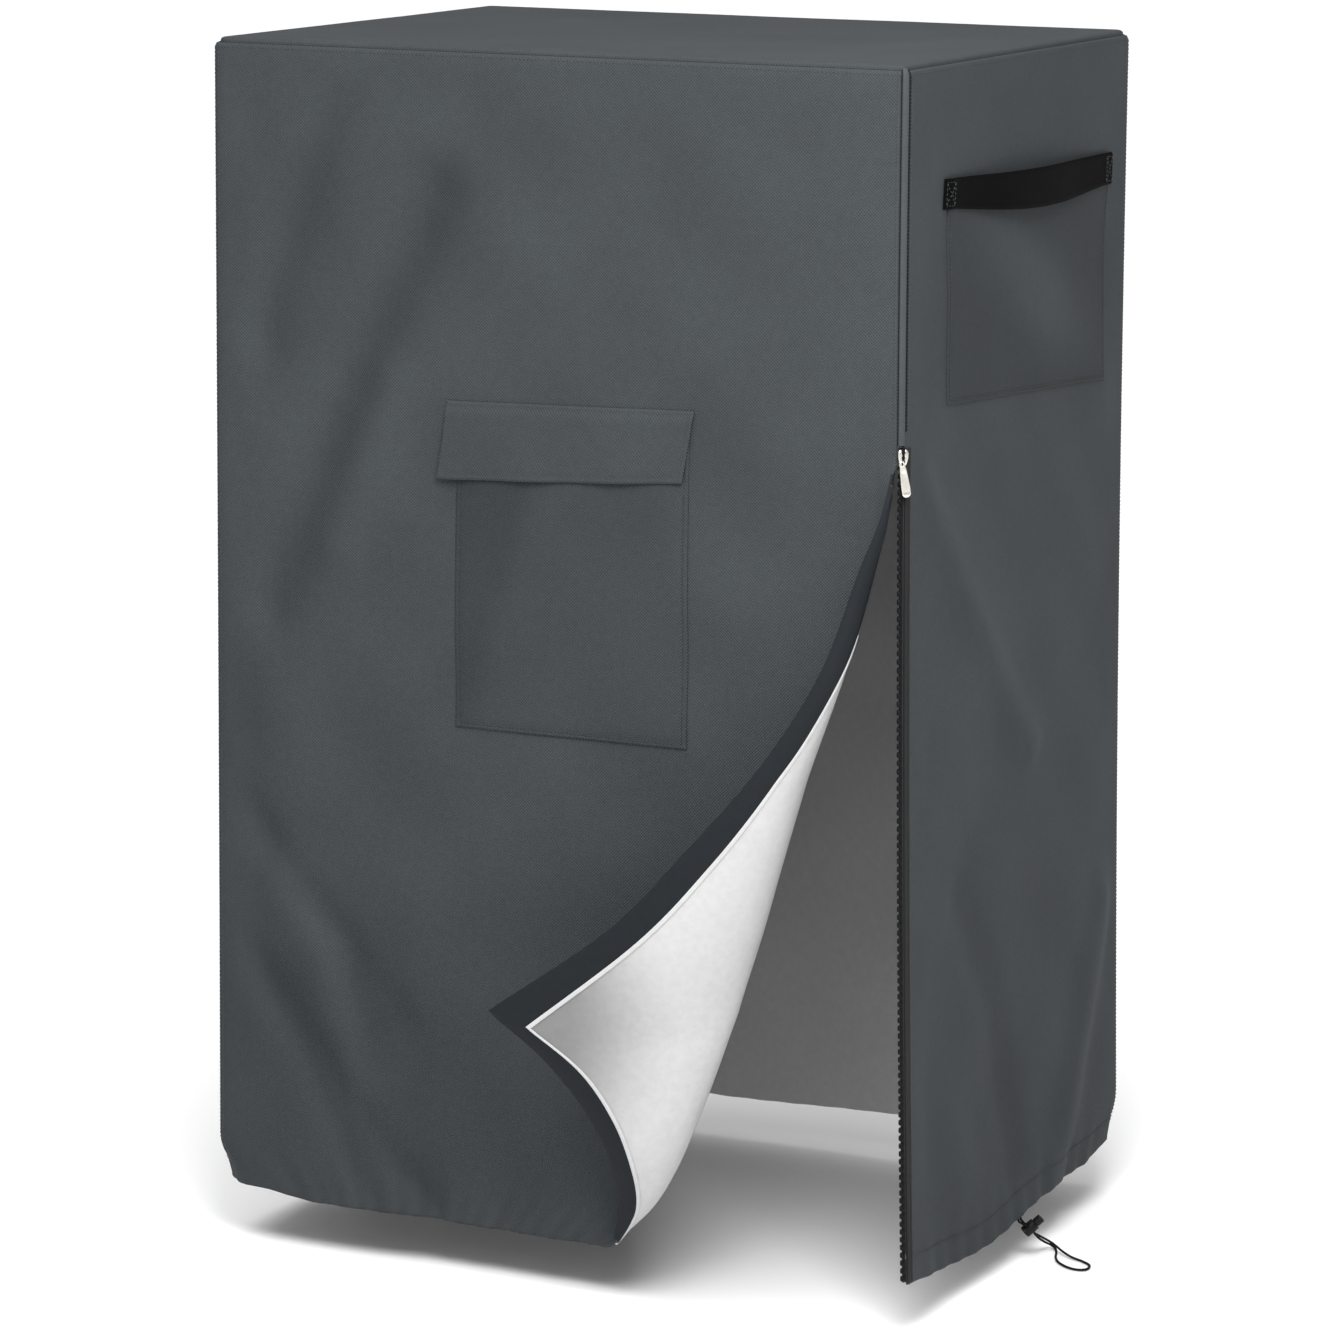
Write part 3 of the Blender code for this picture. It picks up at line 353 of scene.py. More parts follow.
# Soft folds of each wall: a ridge or trough from one place to another, its half width and its height
FOLD_PARTS = ("along_0", "drop_0", "along_1", "drop_1", "width", "height")
FOLDS = {
    "front": (
        (-0.195, 0.040, -0.262, 0.238, 0.026, -0.0049),
        (-0.104, 0.116, -0.177, 0.269, 0.028, -0.0070),
        (-0.196, 0.312, -0.255, 0.461, 0.028, -0.0070),
        (-0.141, 0.271, -0.188, 0.406, 0.024, 0.0042),
        (-0.106, 0.673, -0.023, 0.581, 0.050, 0.0042),
        (-0.240, 0.560, -0.235, 0.600, 0.040, 0.0042),
        (-0.280, 0.632, -0.134, 0.803, 0.018, -0.0049),
        (-0.240, 0.690, -0.150, 0.860, 0.024, 0.0049),
        (-0.277, 0.760, -0.116, 0.955, 0.020, -0.0063),
        (-0.120, 0.830, -0.050, 0.930, 0.045, -0.0063),
    ),
    "right": (
        (-0.213, 0.331, -0.103, 0.442, 0.020, 0.0056),
        (-0.079, 0.466, 0.026, 0.572, 0.020, 0.0056),
        (-0.124, 0.677, -0.067, 0.756, 0.028, -0.0055),
        (-0.045, 0.797, 0.000, 0.917, 0.028, -0.0060),
        (0.202, 0.744, 0.169, 0.806, 0.024, 0.0063),
        (0.150, 0.841, 0.094, 0.949, 0.024, 0.0070),
        (-0.188, 0.817, -0.166, 0.937, 0.035, -0.0030),
    ),
    "back": (
        (-0.200, 0.080, -0.130, 0.420, 0.035, -0.0045),
        (0.060, 0.300, -0.020, 0.900, 0.030, 0.0045),
        (0.210, 0.150, 0.190, 0.640, 0.035, -0.0045),
        (-0.180, 0.560, -0.100, 0.930, 0.030, -0.0050),
        (0.150, 0.700, 0.110, 0.950, 0.028, 0.0040),
    ),
    "left": (
        (0.170, 0.060, 0.120, 0.420, 0.032, -0.0045),
        (0.020, 0.250, 0.050, 0.820, 0.030, 0.0045),
        (-0.120, 0.180, -0.150, 0.620, 0.032, -0.0045),
        (0.140, 0.640, 0.080, 0.940, 0.028, -0.0050),
        (-0.060, 0.720, -0.090, 0.950, 0.028, 0.0040),
    ),
}
FOLD_SIDES = (0.012, 0.045)
FOLD_RIM = (0.010, 0.060)
HEM_DIPS = {"front": (0.0, 0.15, 0.002), "right": (-0.080, 0.11, 0.013), "back": (0.05, 0.14, 0.006),
            "left": (0.02, 0.12, 0.005)}
DIP_FROM = 0.6
DIP_ENDS = 0.05
# Small ripples over each wall: waves per metre along and down, a start, and a height
RIPPLES = ((5.1, 3.3, 0.4, 0.0007), (-3.7, 6.2, 1.9, 0.0006), (8.3, -5.9, 3.1, 0.0004),
           (2.2, 9.7, 5.0, 0.0004))
# Puckers above the drawn hem: waves per metre, height, and how far up they fade
PUCKERS = (29.0, 0.0008, 0.030)

# Sides of the box: outward normal, direction of "along", distance from the middle, half length, and
# whether each end is the zip's corner
SIDES = {
    "front": ((0, -1, 0), (1, 0, 0), DEPTH / 2, WIDTH / 2, False, True),
    "right": ((1, 0, 0), (0, 1, 0), WIDTH / 2, DEPTH / 2, True, False),
    "back": ((0, 1, 0), (-1, 0, 0), DEPTH / 2, WIDTH / 2, False, False),
    "left": ((-1, 0, 0), (0, -1, 0), WIDTH / 2, DEPTH / 2, False, False),
}

# Route of the drawcord's loop, from the hem through the lock, round on the ground and back
CORD_ROUTE = (
    (0.3190, 0.0078, -0.9692), (0.3191, 0.0080, -0.9712), (0.3203, 0.0091, -0.9738),
    (0.3223, 0.0108, -0.9764), (0.3241, 0.0155, -0.9805), (0.3259, 0.0202, -0.9846),
    (0.3268, 0.0300, -0.9925), (0.3282, 0.0420, -0.9995), (0.3318, 0.0485, -1.0035),
    (0.3375, 0.0445, -1.0050), (0.3425, 0.0335, -1.0050), (0.3465, 0.0215, -1.0050),
    (0.3540, 0.0085, -1.0050), (0.3650, -0.0010, -1.0050), (0.3750, -0.0045, -1.0050),
    (0.3820, 0.0000, -1.0050), (0.3805, 0.0115, -1.0050), (0.3710, 0.0200, -1.0050),
    (0.3600, 0.0250, -1.0045), (0.3500, 0.0315, -1.0032), (0.3420, 0.0385, -1.0020),
    (0.3355, 0.0395, -0.9985), (0.3305, 0.0300, -0.9920), (0.3277, 0.0186, -0.9856),
    (0.3259, 0.0139, -0.9815), (0.3241, 0.0092, -0.9774), (0.3215, 0.0044, -0.9745),
    (0.3194, 0.0022, -0.9718), (0.3190, 0.0020, -0.9698),
)


def ease(t):
    """Smooth step from 0 to 1: 3 t squared less 2 t cubed."""
    t = np.clip(t, 0.0, 1.0)
    return t * t * (3.0 - 2.0 * t)


def through(rows, name, at):
    """A cubic Hermite curve through one column of a fold's table, read at drops, with mean slopes."""
    x = np.array([row[0] for row in rows])
    y = np.array([row[FOLD_ROW.index(name)] for row in rows])
    slope = np.gradient(y, x)
    i = np.clip(np.searchsorted(x, at) - 1, 0, len(x) - 2)
    span = x[i + 1] - x[i]
    t = (at - x[i]) / span
    start = (2 * t ** 3 - 3 * t ** 2 + 1) * y[i] + (t ** 3 - 2 * t ** 2 + t) * span * slope[i]
    return start + (3 * t ** 2 - 2 * t ** 3) * y[i + 1] + (t ** 3 - t ** 2) * span * slope[i + 1]


def fold_value(name, drop):
    """One column of the fold's tables, with a sharp turn at the tip."""
    above = through(ZIP_EDGE_ROWS, name, np.minimum(drop, TIP_DROP))
    below = through(HEM_EDGE_ROWS, name, np.maximum(drop, TIP_DROP))
    return np.where(drop <= TIP_DROP, above, below)


def corner_radius(at_zip, drop):
    """Plan radius of a corner, which the drawcord widens near the hem."""
    drawn = CORNER + (CORNER_DRAWN - CORNER) * ease((drop - DRAWN_FROM) / (HEIGHT - DRAWN_FROM))
    return np.where(at_zip, ZIP_CORNER, drawn)


def relief(side, along, drop):
    """Height of a wall's folds: a sum of Gaussian ridges round lines, of sine ripples and of hem puckers."""
    half = SIDES[side][3]
    height = np.zeros(np.broadcast(along, drop).shape)
    for row in FOLDS[side]:
        fold = dict(zip(FOLD_PARTS, row))
        run_along = fold["along_1"] - fold["along_0"]
        run_drop = fold["drop_1"] - fold["drop_0"]
        length = run_along ** 2 + run_drop ** 2
        t = ((along - fold["along_0"]) * run_along + (drop - fold["drop_0"]) * run_drop) / length
        t = np.clip(t, 0.0, 1.0)
        far = np.hypot(along - fold["along_0"] - t * run_along, drop - fold["drop_0"] - t * run_drop)
        height = height + fold["height"] * np.exp(-(far / fold["width"]) ** 2)
    for across, down, start, size in RIPPLES:
        height = height + size * np.sin(2 * np.pi * (across * along + down * drop) + start)
    waves, size, fade = PUCKERS
    height = height + size * np.sin(2 * np.pi * waves * along) * np.exp(-((HEIGHT - drop) / fade) ** 2)
    at_sides = ease((half - np.abs(along) - FOLD_SIDES[0]) / FOLD_SIDES[1])
    return height * at_sides * ease((drop - FOLD_RIM[0]) / FOLD_RIM[1])


def flare(points):
    """Stand the lower part of the cover out past its rim, by the depth squared."""
    depth = np.clip((RIM - points[..., 2]) / HEIGHT, 0.0, 1.1) ** 2
    x = points[..., 0]
    y = points[..., 1]
    side_x = np.where(x > 0, FLARE["right"], FLARE["left"]) * ease(np.abs(x) / (WIDTH / 2)) * np.sign(x)
    side_y = np.where(y > 0, FLARE["back"], FLARE["front"]) * ease(np.abs(y) / (DEPTH / 2)) * np.sign(y)
    return np.stack([x + side_x * depth, y + side_y * depth, points[..., 2]], -1)


def wall(side, along, drop):
    """Outer skin of one wall: a flat middle, a quarter round at each corner and a curl into the top."""
    normal, tangent, distance, half, zip_start, zip_end = SIDES[side]
    normal = np.array(normal, float)
    tangent = np.array(tangent, float)
    along, drop = np.broadcast_arrays(np.asarray(along, float), np.asarray(drop, float))
    at_zip = np.where(along > 0, zip_end, zip_start)
    nominal = corner_radius(at_zip, 0.0 * drop)
    radius = corner_radius(at_zip, drop)
    flat = half - nominal
    turn = np.sign(along) * np.maximum(np.abs(along) - flat, 0.0) / nominal
    centre = np.clip(along, -flat, flat) * (half - radius) / flat
    curl = np.maximum((EDGE_CURL - drop) / EDGE_CURL, 0.0)
    outward = np.sin(turn)[..., None] * tangent + np.cos(turn)[..., None] * normal
    reach = radius - EDGE_CURL * (1 - np.cos(curl)) + relief(side, along, drop)
    points = centre[..., None] * tangent + (distance - radius)[..., None] * normal
    points = points + reach[..., None] * outward
    middle, spread, dip = HEM_DIPS[side]
    low = ease((drop - DIP_FROM) / (HEIGHT - DIP_FROM))
    dip = dip * np.exp(-((along - middle) / spread) ** 2) * ease((half - np.abs(along)) / DIP_ENDS)
    near = ease((np.abs(along) - flat + DRAWN_WIDTH) / DRAWN_WIDTH) * np.where(at_zip, 0.0, 1.0)
    lift = DRAWN_LIFT * near * ease((drop - DRAWN_FROM) / (HEIGHT - DRAWN_FROM))
    points[..., 2] = np.where(curl > 0, RIM - EDGE_CURL * (1 - np.sin(curl)), RIM - drop) - dip * low + lift
    return flare(points)


def seam_along(side, end):
    """Where a wall's cloth ends along its skin: halfway round a corner, or beside the zip's welt."""
    half = SIDES[side][3]
    if SIDES[side][5 if end > 0 else 4]:
        return end * (half - ZIP_CORNER + ZIP_CORNER * SEAM_TURN - WELT_WIDTH / 2)
    return end * (half - CORNER + CORNER * SEAM_TURN)


FRONT_END = seam_along("front", 1)
TOP_SEAM = EDGE_CURL * (1 - SEAM_TURN)


def front_cloth(u, drop):
    """Outer skin of the front wall's cloth.

    Up to FOOT, u is "along" at the rim. Past it, u crosses the cloth that is held by the zip above the
    slider, and below it the folded-out corner. There each row is a cubic curve: it leaves the wall at the
    fold's foot, runs on in the fold's direction, rolls round and comes back to the free edge.
    """
    u, drop = np.broadcast_arrays(np.asarray(u, float), np.asarray(drop, float))
    held = wall("front", u, drop)
    foot = np.where(drop > SLIDER_DROP, fold_value("foot", np.maximum(drop, SLIDER_DROP)), FOOT)
    reach = ease((drop - KEPT_DROPS[0]) / (KEPT_DROPS[1] - KEPT_DROPS[0]))
    keep = KEPT_ALONG[0] + (KEPT_ALONG[1] - KEPT_ALONG[0]) * reach
    squeezed = np.where(u < keep, u, keep + (u - keep) * (foot - keep) / (FOOT - keep))
    base = wall("front", np.minimum(squeezed, foot), drop)
    low = np.maximum(drop, SLIDER_DROP)
    edge = np.stack([fold_value("edge_x", low), -DEPTH / 2 - fold_value("out", low),
                     RIM - fold_value("edge_drop", low)], -1)
    start = wall("front", foot, drop)
    back = np.maximum((start - edge) @ FOLD_DIRECTION, 0.0)
    handle = FOLD_REACH * fold_value("out", low)
    first = start + handle[..., None] * FOLD_DIRECTION
    second = edge + (handle + FOLD_PULL * back)[..., None] * FOLD_DIRECTION
    t = ((u - FOOT) / (FRONT_END - FOOT))[..., None]
    rolled = (1 - t) ** 3 * start + 3 * t * (1 - t) ** 2 * first
    rolled = rolled + 3 * t ** 2 * (1 - t) * second + t ** 3 * edge
    free = ease((drop - SLIDER_DROP) / FOLD_START)[..., None]
    folded = held * (1 - free) + rolled * free
    return np.where((u > FOOT)[..., None], folded, base)


def across_fold(share):
    """Columns of the front's cloth past FOOT, by their share of the way to its end."""
    return FOOT + (FRONT_END - FOOT) * share


def side_drop(along, drop):
    """The right wall's rows run lower to the back where the strap and pocket are sewn on."""
    tilt = ease(drop / SIDE_TILT_FULL)
    tilt = tilt * (1 - ease((drop - SIDE_TILT_ENDS[0]) / (SIDE_TILT_ENDS[1] - SIDE_TILT_ENDS[0])))
    return drop + SIDE_TILT * np.clip(along / SIDE_POCKET_BACK, -1.0, 1.0) * tilt


def right_cloth(u, drop):
    """Outer skin of the right wall on its tilted rows."""
    return wall("right", u, side_drop(np.asarray(u, float), np.asarray(drop, float)))


def left_cloth(u, drop):
    """Outer skin of the left wall."""
    return wall("left", u, drop)


def back_cloth(u, drop):
    """Outer skin of the back wall."""
    return wall("back", u, drop)


def zip_corner(turn, drop):
    """Outer skin round the zip's corner, by its angle from the front."""
    return wall("front", WIDTH / 2 - ZIP_CORNER + ZIP_CORNER * turn, drop)


def normals(surface, u, v):
    """Outward unit normals: the cross product of small steps along and down the skin."""
    du = surface(u + NORMAL_STEP, v) - surface(u - NORMAL_STEP, v)
    dv = surface(u, v + NORMAL_STEP) - surface(u, v - NORMAL_STEP)
    normal = np.cross(du, -dv)
    return normal / np.linalg.norm(normal, axis=-1, keepdims=True)


def painted_shade_of(height, u, v, by_height, by_lean):
    """Share of painted light on a cloth, painted shade where it is negative: it grows with a fold's height
    and its lean to its right.
    """
    lean = (height(u - PAINTED_SHADE_STEP, v) - height(u + PAINTED_SHADE_STEP, v)) / (2 * PAINTED_SHADE_STEP)
    return by_height * height(u, v) + by_lean * lean


def wall_painted_shade(side, u, v):
    """Painted light and shade of a wall: its folds' share, less painted shade on its lower part."""
    low_shade = WALL_LOW_SHADE * ease((v - LOW_SHADE_FROM) / LOW_SHADE_RAMP)
    if side == "front":
        low_shade = low_shade * (1 + FRONT_LEFT_SHADE * ease((LEFT_SHADE_SIDE - u) / LOW_SHADE_RAMP))
    folds = painted_shade_of(lambda along, drop: relief(side, along, drop), u, v, *WALL_PAINTED_SHADE)
    return folds * ease((FOOT - u) / PAINTED_SHADE_STOPS) - low_shade


def set_painted_shade(piece, fade):
    """Keep the share of painted light and shade at each point of a sheet's outer and inner grid."""
    layer = piece.data.attributes.new("Fade", "FLOAT", "POINT")
    both = np.tile(np.clip(fade, -PAINTED_SHADE_MOST, PAINTED_SHADE_MOST).ravel(), 2)
    layer.data.foreach_set("value", both.astype(np.float32))


def groove(distance):
    """How far a seam draws the cloth in at a distance from it: a Gaussian."""
    return SEAM_GROOVE * np.exp(-(distance / SEAM_HALF) ** 2)


def rounded(distance):
    """How far a cut edge is rounded off at a distance from it."""
    return EDGE_ROUND * np.exp(-(distance / EDGE_ROUND) ** 2)


def hem_relief(distance):
    """A turned hem: a little proud below its stitch line, which is drawn in."""
    proud = HEM_PROUD * ease((HEM - distance) / CLOTH)
    return proud - HEM_DRAWN * np.exp(-((distance - HEM) / HEM_DRAWN_HALF) ** 2)


def sunk_line(edge, depth):
    """How far a row of stitches inside a patch's edge draws it in: a Gaussian."""
    return depth * np.exp(-((edge - PATCH_INSET) / PATCH_LINE_HALF) ** 2)


def steps(start, end, step, fine=(True, True)):
    """Places from start to end, close together beside a seam or an edge."""
    head = start + SEAM_STEPS if fine[0] else np.array([start])
    tail = end - SEAM_STEPS[::-1] if fine[1] else np.array([end])
    count = max(int(round((tail[0] - head[-1]) / step)), 1)
    return np.concatenate([head, np.linspace(head[-1], tail[0], count + 1)[1:-1], tail])


def put_mesh(name, points, faces, uv, materials, slots=None):
    """A mesh piece from whole arrays, with a UV map in metres, that rides on the one body."""
    mesh = bpy.data.meshes.new(name)
    mesh.from_pydata(points.reshape(-1, 3).tolist(), [], [list(face) for face in faces])
    layer = mesh.uv_layers.new(name="Metres")
    corners = np.empty(len(mesh.loops), np.int32)
    mesh.loops.foreach_get("vertex_index", corners)
    layer.data.foreach_set("uv", uv.reshape(-1, 2)[corners].astype(np.float32).ravel())
    for material in materials:
        mesh.materials.append(material)
    if slots is not None:
        mesh.polygons.foreach_set("material_index", slots.astype(np.int32))
    mesh.shade_smooth()
    mesh.set_sharp_from_angle(angle=SHARP_ANGLE)
    mesh.update()
    piece = bpy.data.objects.new(name, mesh)
    bpy.context.scene.collection.objects.link(piece)
    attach(piece, "root")
    return piece


def grid_faces(rows, columns, first=0, closed=False):
    """Quads of a grid, wound to face out when its columns run right and its rows run down."""
    index = first + np.arange(rows * columns).reshape(rows, columns)
    if closed:
        index = np.concatenate([index, index[:, :1]], 1)
    a, b, c, d = index[:-1, :-1], index[:-1, 1:], index[1:, 1:], index[1:, :-1]
    return np.stack([a, d, c, b], -1).reshape(-1, 4)


def rim_faces(rows, columns):
    """Quads that close the rim between two grids of the same shape."""
    index = np.arange(rows * columns).reshape(rows, columns)
    loop = np.concatenate([index[0, :-1], index[:-1, -1], index[-1, :0:-1], index[:0:-1, 0]])
    ahead = np.roll(loop, -1)
    size = rows * columns
    return np.stack([loop, ahead, ahead + size, loop + size], -1)


def row_lengths(points):
    """Length along each row of a grid, from its first column to each one."""
    run = np.linalg.norm(np.diff(points, axis=1), axis=-1)
    return np.concatenate([np.zeros((len(run), 1)), np.cumsum(run, 1)], 1)


def put_sheet(name, outer, inner, uv, materials):
    """A closed sheet between two grids. A second material goes on the inner face."""
    rows, columns = outer.shape[:2]
    front = grid_faces(rows, columns)
    back = grid_faces(rows, columns, rows * columns)[:, ::-1]
    rim = rim_faces(rows, columns)
    slots = np.concatenate([np.zeros(len(front)), np.full(len(back), len(materials) - 1), np.zeros(len(rim))])
    points = np.concatenate([outer.reshape(-1, 3), inner.reshape(-1, 3)])
    both = np.concatenate([uv.reshape(-1, 2), uv.reshape(-1, 2)])
    return put_mesh(name, points, np.concatenate([front, back, rim]), both, materials, slots)


def put_layer(name, surface, u, v, low, high, materials):
    """A sheet between two heights over a skin. Its UV is the length along each row, and the drop."""
    u, v = np.broadcast_arrays(u, v)
    points = surface(u, v)
    normal = normals(surface, u, v)
    uv = np.stack([row_lengths(points), -v], -1)
    even = np.ones(u.shape)
    outer = points + (high * even)[..., None] * normal
    inner = points + (low * even)[..., None] * normal
    return put_sheet(name, outer, inner, uv, materials)


def node(tree, kind, inputs=(), **settings):
    """A shader node with its settings. An input is a value, or another node's output."""
    made = tree.nodes.new(kind)
    for key, value in settings.items():
        setattr(made, key, value)
    for key, value in dict(inputs).items():
        if isinstance(value, bpy.types.NodeSocket):
            tree.links.new(value, made.inputs[key])
        else:
            made.inputs[key].default_value = value
    return made


def calc(tree, operation, a, b=0.0):
    """One step of shader arithmetic."""
    return node(tree, "ShaderNodeMath", {0: a, 1: b}, operation=operation).outputs[0]


def mixed(tree, factor, a, b):
    """A colour between a and b."""
    made = node(tree, "ShaderNodeMix", {0: factor, 6: (*a, 1.0), 7: (*b, 1.0)}, data_type="RGBA")
    return made.outputs[2]


def ranged(tree, value, low, high, to_low, to_high):
    """A value carried from one range to another."""
    return node(tree, "ShaderNodeMapRange", {0: value, 1: low, 2: high, 3: to_low, 4: to_high}).outputs[0]


def shader(name, **sockets):
    """A new material, its node tree and its Principled shader, with uniform values on its own sockets."""
    material = bpy.data.materials.new(name)
    material.use_nodes = True
    tree = material.node_tree
    principled = tree.nodes["Principled BSDF"]
    for key, value in sockets.items():
        principled.inputs[key.replace("_", " ")].default_value = value
    return material, tree, principled


def weave_height(tree, pitch, angle=0.0):
    """Plain weave on the piece's own UV: the product of a sine across and a sine along, from 0 to 1."""
    uv = node(tree, "ShaderNodeUVMap", uv_map="Metres").outputs[0]
    turned = node(tree, "ShaderNodeMapping", {"Vector": uv, "Rotation": (0.0, 0.0, angle)}).outputs[0]
    split = node(tree, "ShaderNodeSeparateXYZ", {0: turned})
    waves = [calc(tree, "SINE", calc(tree, "MULTIPLY", across, 2 * math.pi / pitch))
             for across in (split.outputs[0], split.outputs[1])]
    product = calc(tree, "MULTIPLY", *waves)
    return calc(tree, "ADD", calc(tree, "MULTIPLY", product, 0.5), 0.5)


def noise(tree, scale, detail):
    """Noise in object coordinates, in metres."""
    place = node(tree, "ShaderNodeTexCoord").outputs["Object"]
    return node(tree, "ShaderNodeTexNoise", {"Vector": place, "Scale": scale, "Detail": detail}).outputs[0]


# Noise in the finishes: size (per metre) and detail of fibre, cloud and mottle, and the spread of roughness
FIBRE = (900.0, 2.0)
CLOUD = (7.0, 4.0)
MOTTLE = (160.0, 2.0)
MOTTLE_SHARE = 0.04
WEAVE_BUMP = 0.6
GRAIN_BUMP = 0.4
GRAIN_DETAIL = 3.0
WEAR_DETAIL = 4.0
WEAR_SHARE = 0.85
ROUGH_SPREAD = 0.06
GRAIN_SPREAD = 0.08


def woven(name, colour, pitch, depth, contrast, roughness, angle=0.0, cloud=0.08, painted_light_shade=False, specular=0.5):
    """Woven cloth: thread relief, painted shade in the hollows between threads, cloudy tone and uneven
    roughness.
    """
    material, tree, principled = shader(name, Specular_IOR_Level=specular)
    weave = weave_height(tree, pitch, angle)
    fibre = noise(tree, *FIBRE)
    cloudy = noise(tree, *CLOUD)
    mottled = noise(tree, *MOTTLE)
    # Painted shade in the weave's hollows, with cloudy and mottled tone
    tone = calc(tree, "MULTIPLY", ranged(tree, weave, 0.0, 1.0, 1.0 - contrast, 1.0 + contrast),
                ranged(tree, cloudy, 0.3, 0.7, 1.0 - cloud, 1.0 + cloud))
    tone = calc(tree, "MULTIPLY", tone,
                ranged(tree, mottled, 0.3, 0.7, 1.0 - MOTTLE_SHARE, 1.0 + MOTTLE_SHARE))
    # Painted light and shade: the sheet's attribute brightens or darkens the tone
    if painted_light_shade:
        fade = node(tree, "ShaderNodeAttribute", attribute_name="Fade").outputs["Fac"]
        tone = calc(tree, "MULTIPLY", tone, calc(tree, "ADD", fade, 1.0))
    factor = ranged(tree, tone, 0.5, 1.5, 0.0, 1.0)
    dark = tuple(c * 0.5 for c in colour)
    light = tuple(c * 1.5 for c in colour)
    tree.links.new(mixed(tree, factor, dark, light), principled.inputs["Base Color"])
    rough = ranged(tree, fibre, 0.3, 0.7, roughness - ROUGH_SPREAD, roughness + ROUGH_SPREAD)
    tree.links.new(rough, principled.inputs["Roughness"])
    height = calc(tree, "ADD", weave, calc(tree, "MULTIPLY", fibre, 0.5))
    bump = node(tree, "ShaderNodeBump", {"Height": height, "Distance": depth, "Strength": WEAVE_BUMP})
    tree.links.new(bump.outputs[0], principled.inputs["Normal"])
    return material


def moulded(name, colour, roughness, grain, depth, specular=0.5, metallic=0.0):
    """Moulded plastic or plated metal: fine grain in its relief and in its roughness."""
    material, tree, principled = shader(name, Specular_IOR_Level=specular, Metallic=metallic)
    speck = noise(tree, grain, GRAIN_DETAIL)
    wear = noise(tree, grain / 8, WEAR_DETAIL)
    dark = tuple(c * WEAR_SHARE for c in colour)
    tree.links.new(mixed(tree, ranged(tree, wear, 0.35, 0.65, 0.0, 1.0), dark, colour),
                   principled.inputs["Base Color"])
    tree.links.new(ranged(tree, speck, 0.3, 0.7, roughness - ROUGH_SPREAD, roughness + GRAIN_SPREAD),
                   principled.inputs["Roughness"])
    bump = node(tree, "ShaderNodeBump", {"Height": speck, "Distance": depth, "Strength": GRAIN_BUMP})
    tree.links.new(bump.outputs[0], principled.inputs["Normal"])
    return material


# Finishes: thread pitch (the outer cloth's own by default), relief, painted shade between threads and
# roughness
DIAGONAL = math.pi / 4
FINISHES = {
    "outer_cloth": (woven, dict(depth=0.0008, contrast=0.18, roughness=0.72, painted_light_shade=True, specular=0.15)),
    "pocket_cloth": (woven, dict(depth=0.0008, contrast=0.18, roughness=0.74, painted_light_shade=True, specular=0.15)),
    "welt_cloth": (woven, dict(pitch=0.0016, depth=0.0003, contrast=0.06, roughness=0.7, specular=0.15)),
    "lining": (woven, dict(pitch=0.0012, depth=0.0001, contrast=0.02, roughness=0.42, cloud=0.02,
                           specular=0.4)),
    "piping": (woven, dict(pitch=0.0012, depth=0.0001, contrast=0.02, roughness=0.5, cloud=0.02,
                           specular=0.4)),
    "dark_thread": (woven, dict(pitch=0.0006, depth=0.0001, contrast=0.2, roughness=0.7, specular=0.1)),
    "facing_cloth": (woven, dict(pitch=0.0012, depth=0.0002, contrast=0.08, roughness=0.66, angle=DIAGONAL,
                                 specular=0.12)),
    "tape_cloth": (woven, dict(pitch=0.0012, depth=0.0002, contrast=0.12, roughness=0.7, specular=0.12)),
    "webbing": (woven, dict(pitch=0.0018, depth=0.0004, contrast=0.25, roughness=0.7, angle=DIAGONAL,
                            cloud=0.1, specular=0.02)),
    "thread": (woven, dict(pitch=0.0006, depth=0.0001, contrast=0.2, roughness=0.6)),
    "cord": (woven, dict(pitch=0.0011, depth=0.0003, contrast=0.35, roughness=0.65, angle=DIAGONAL,
                         specular=0.1)),
    "coil": (moulded, dict(roughness=0.5, grain=1500.0, depth=0.0001, specular=0.15)),
    "plastic": (moulded, dict(roughness=0.42, grain=1800.0, depth=0.00005, specular=0.2)),
    "nickel": (moulded, dict(roughness=0.26, grain=1200.0, depth=0.00003, metallic=1.0)),
}


def paint_shade_near_tip(material):
    """Paint shade on the lining near the folded corner's tip: its colour darkens with nearness."""
    tree = material.node_tree
    colour = tree.nodes["Principled BSDF"].inputs["Base Color"]
    tip = (float(ZIP_EDGE_ROWS[-1][2]), -DEPTH / 2 - ZIP_EDGE_ROWS[-1][4], RIM - ZIP_EDGE_ROWS[-1][3])
    place = node(tree, "ShaderNodeTexCoord").outputs["Object"]
    far = node(tree, "ShaderNodeVectorMath", {0: place, 1: tip}, operation="DISTANCE").outputs["Value"]
    near, beyond, left = TIP_SHADE
    tone = node(tree, "ShaderNodeMapRange", {0: far, 1: near, 2: beyond, 3: left, 4: 1.0},
                interpolation_type="SMOOTHSTEP").outputs[0]
    dimmed = node(tree, "ShaderNodeMix", {0: 1.0, 6: colour.links[0].from_socket, 7: tone},
                  data_type="RGBA", blend_type="MULTIPLY")
    tree.links.new(dimmed.outputs[2], colour)


def finish_of(context, name):
    """The material of a finish, made when a piece first asks for it."""
    found = bpy.data.materials.get(f"finish_{name}")
    if found is not None:
        return found
    if name not in FINISHES:
        raise ValueError(f"no finish is named {name}")
    make, values = FINISHES[name]
    values = dict(values)
    if make is woven and "pitch" not in values:
        values["pitch"] = context.scene.cover_sizes.weave
    material = make(f"finish_{name}", tuple(getattr(context.scene.cover_colours, name)), **values)
    # The lining gets painted shade near the folded corner's tip
    if name == "lining":
        paint_shade_near_tip(material)
    return material


def declare_cloth(piece, flat, slot, solid, rests_on=(), **stated):
    """Hide the imported solid that a sheet stands for."""
    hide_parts(solid)


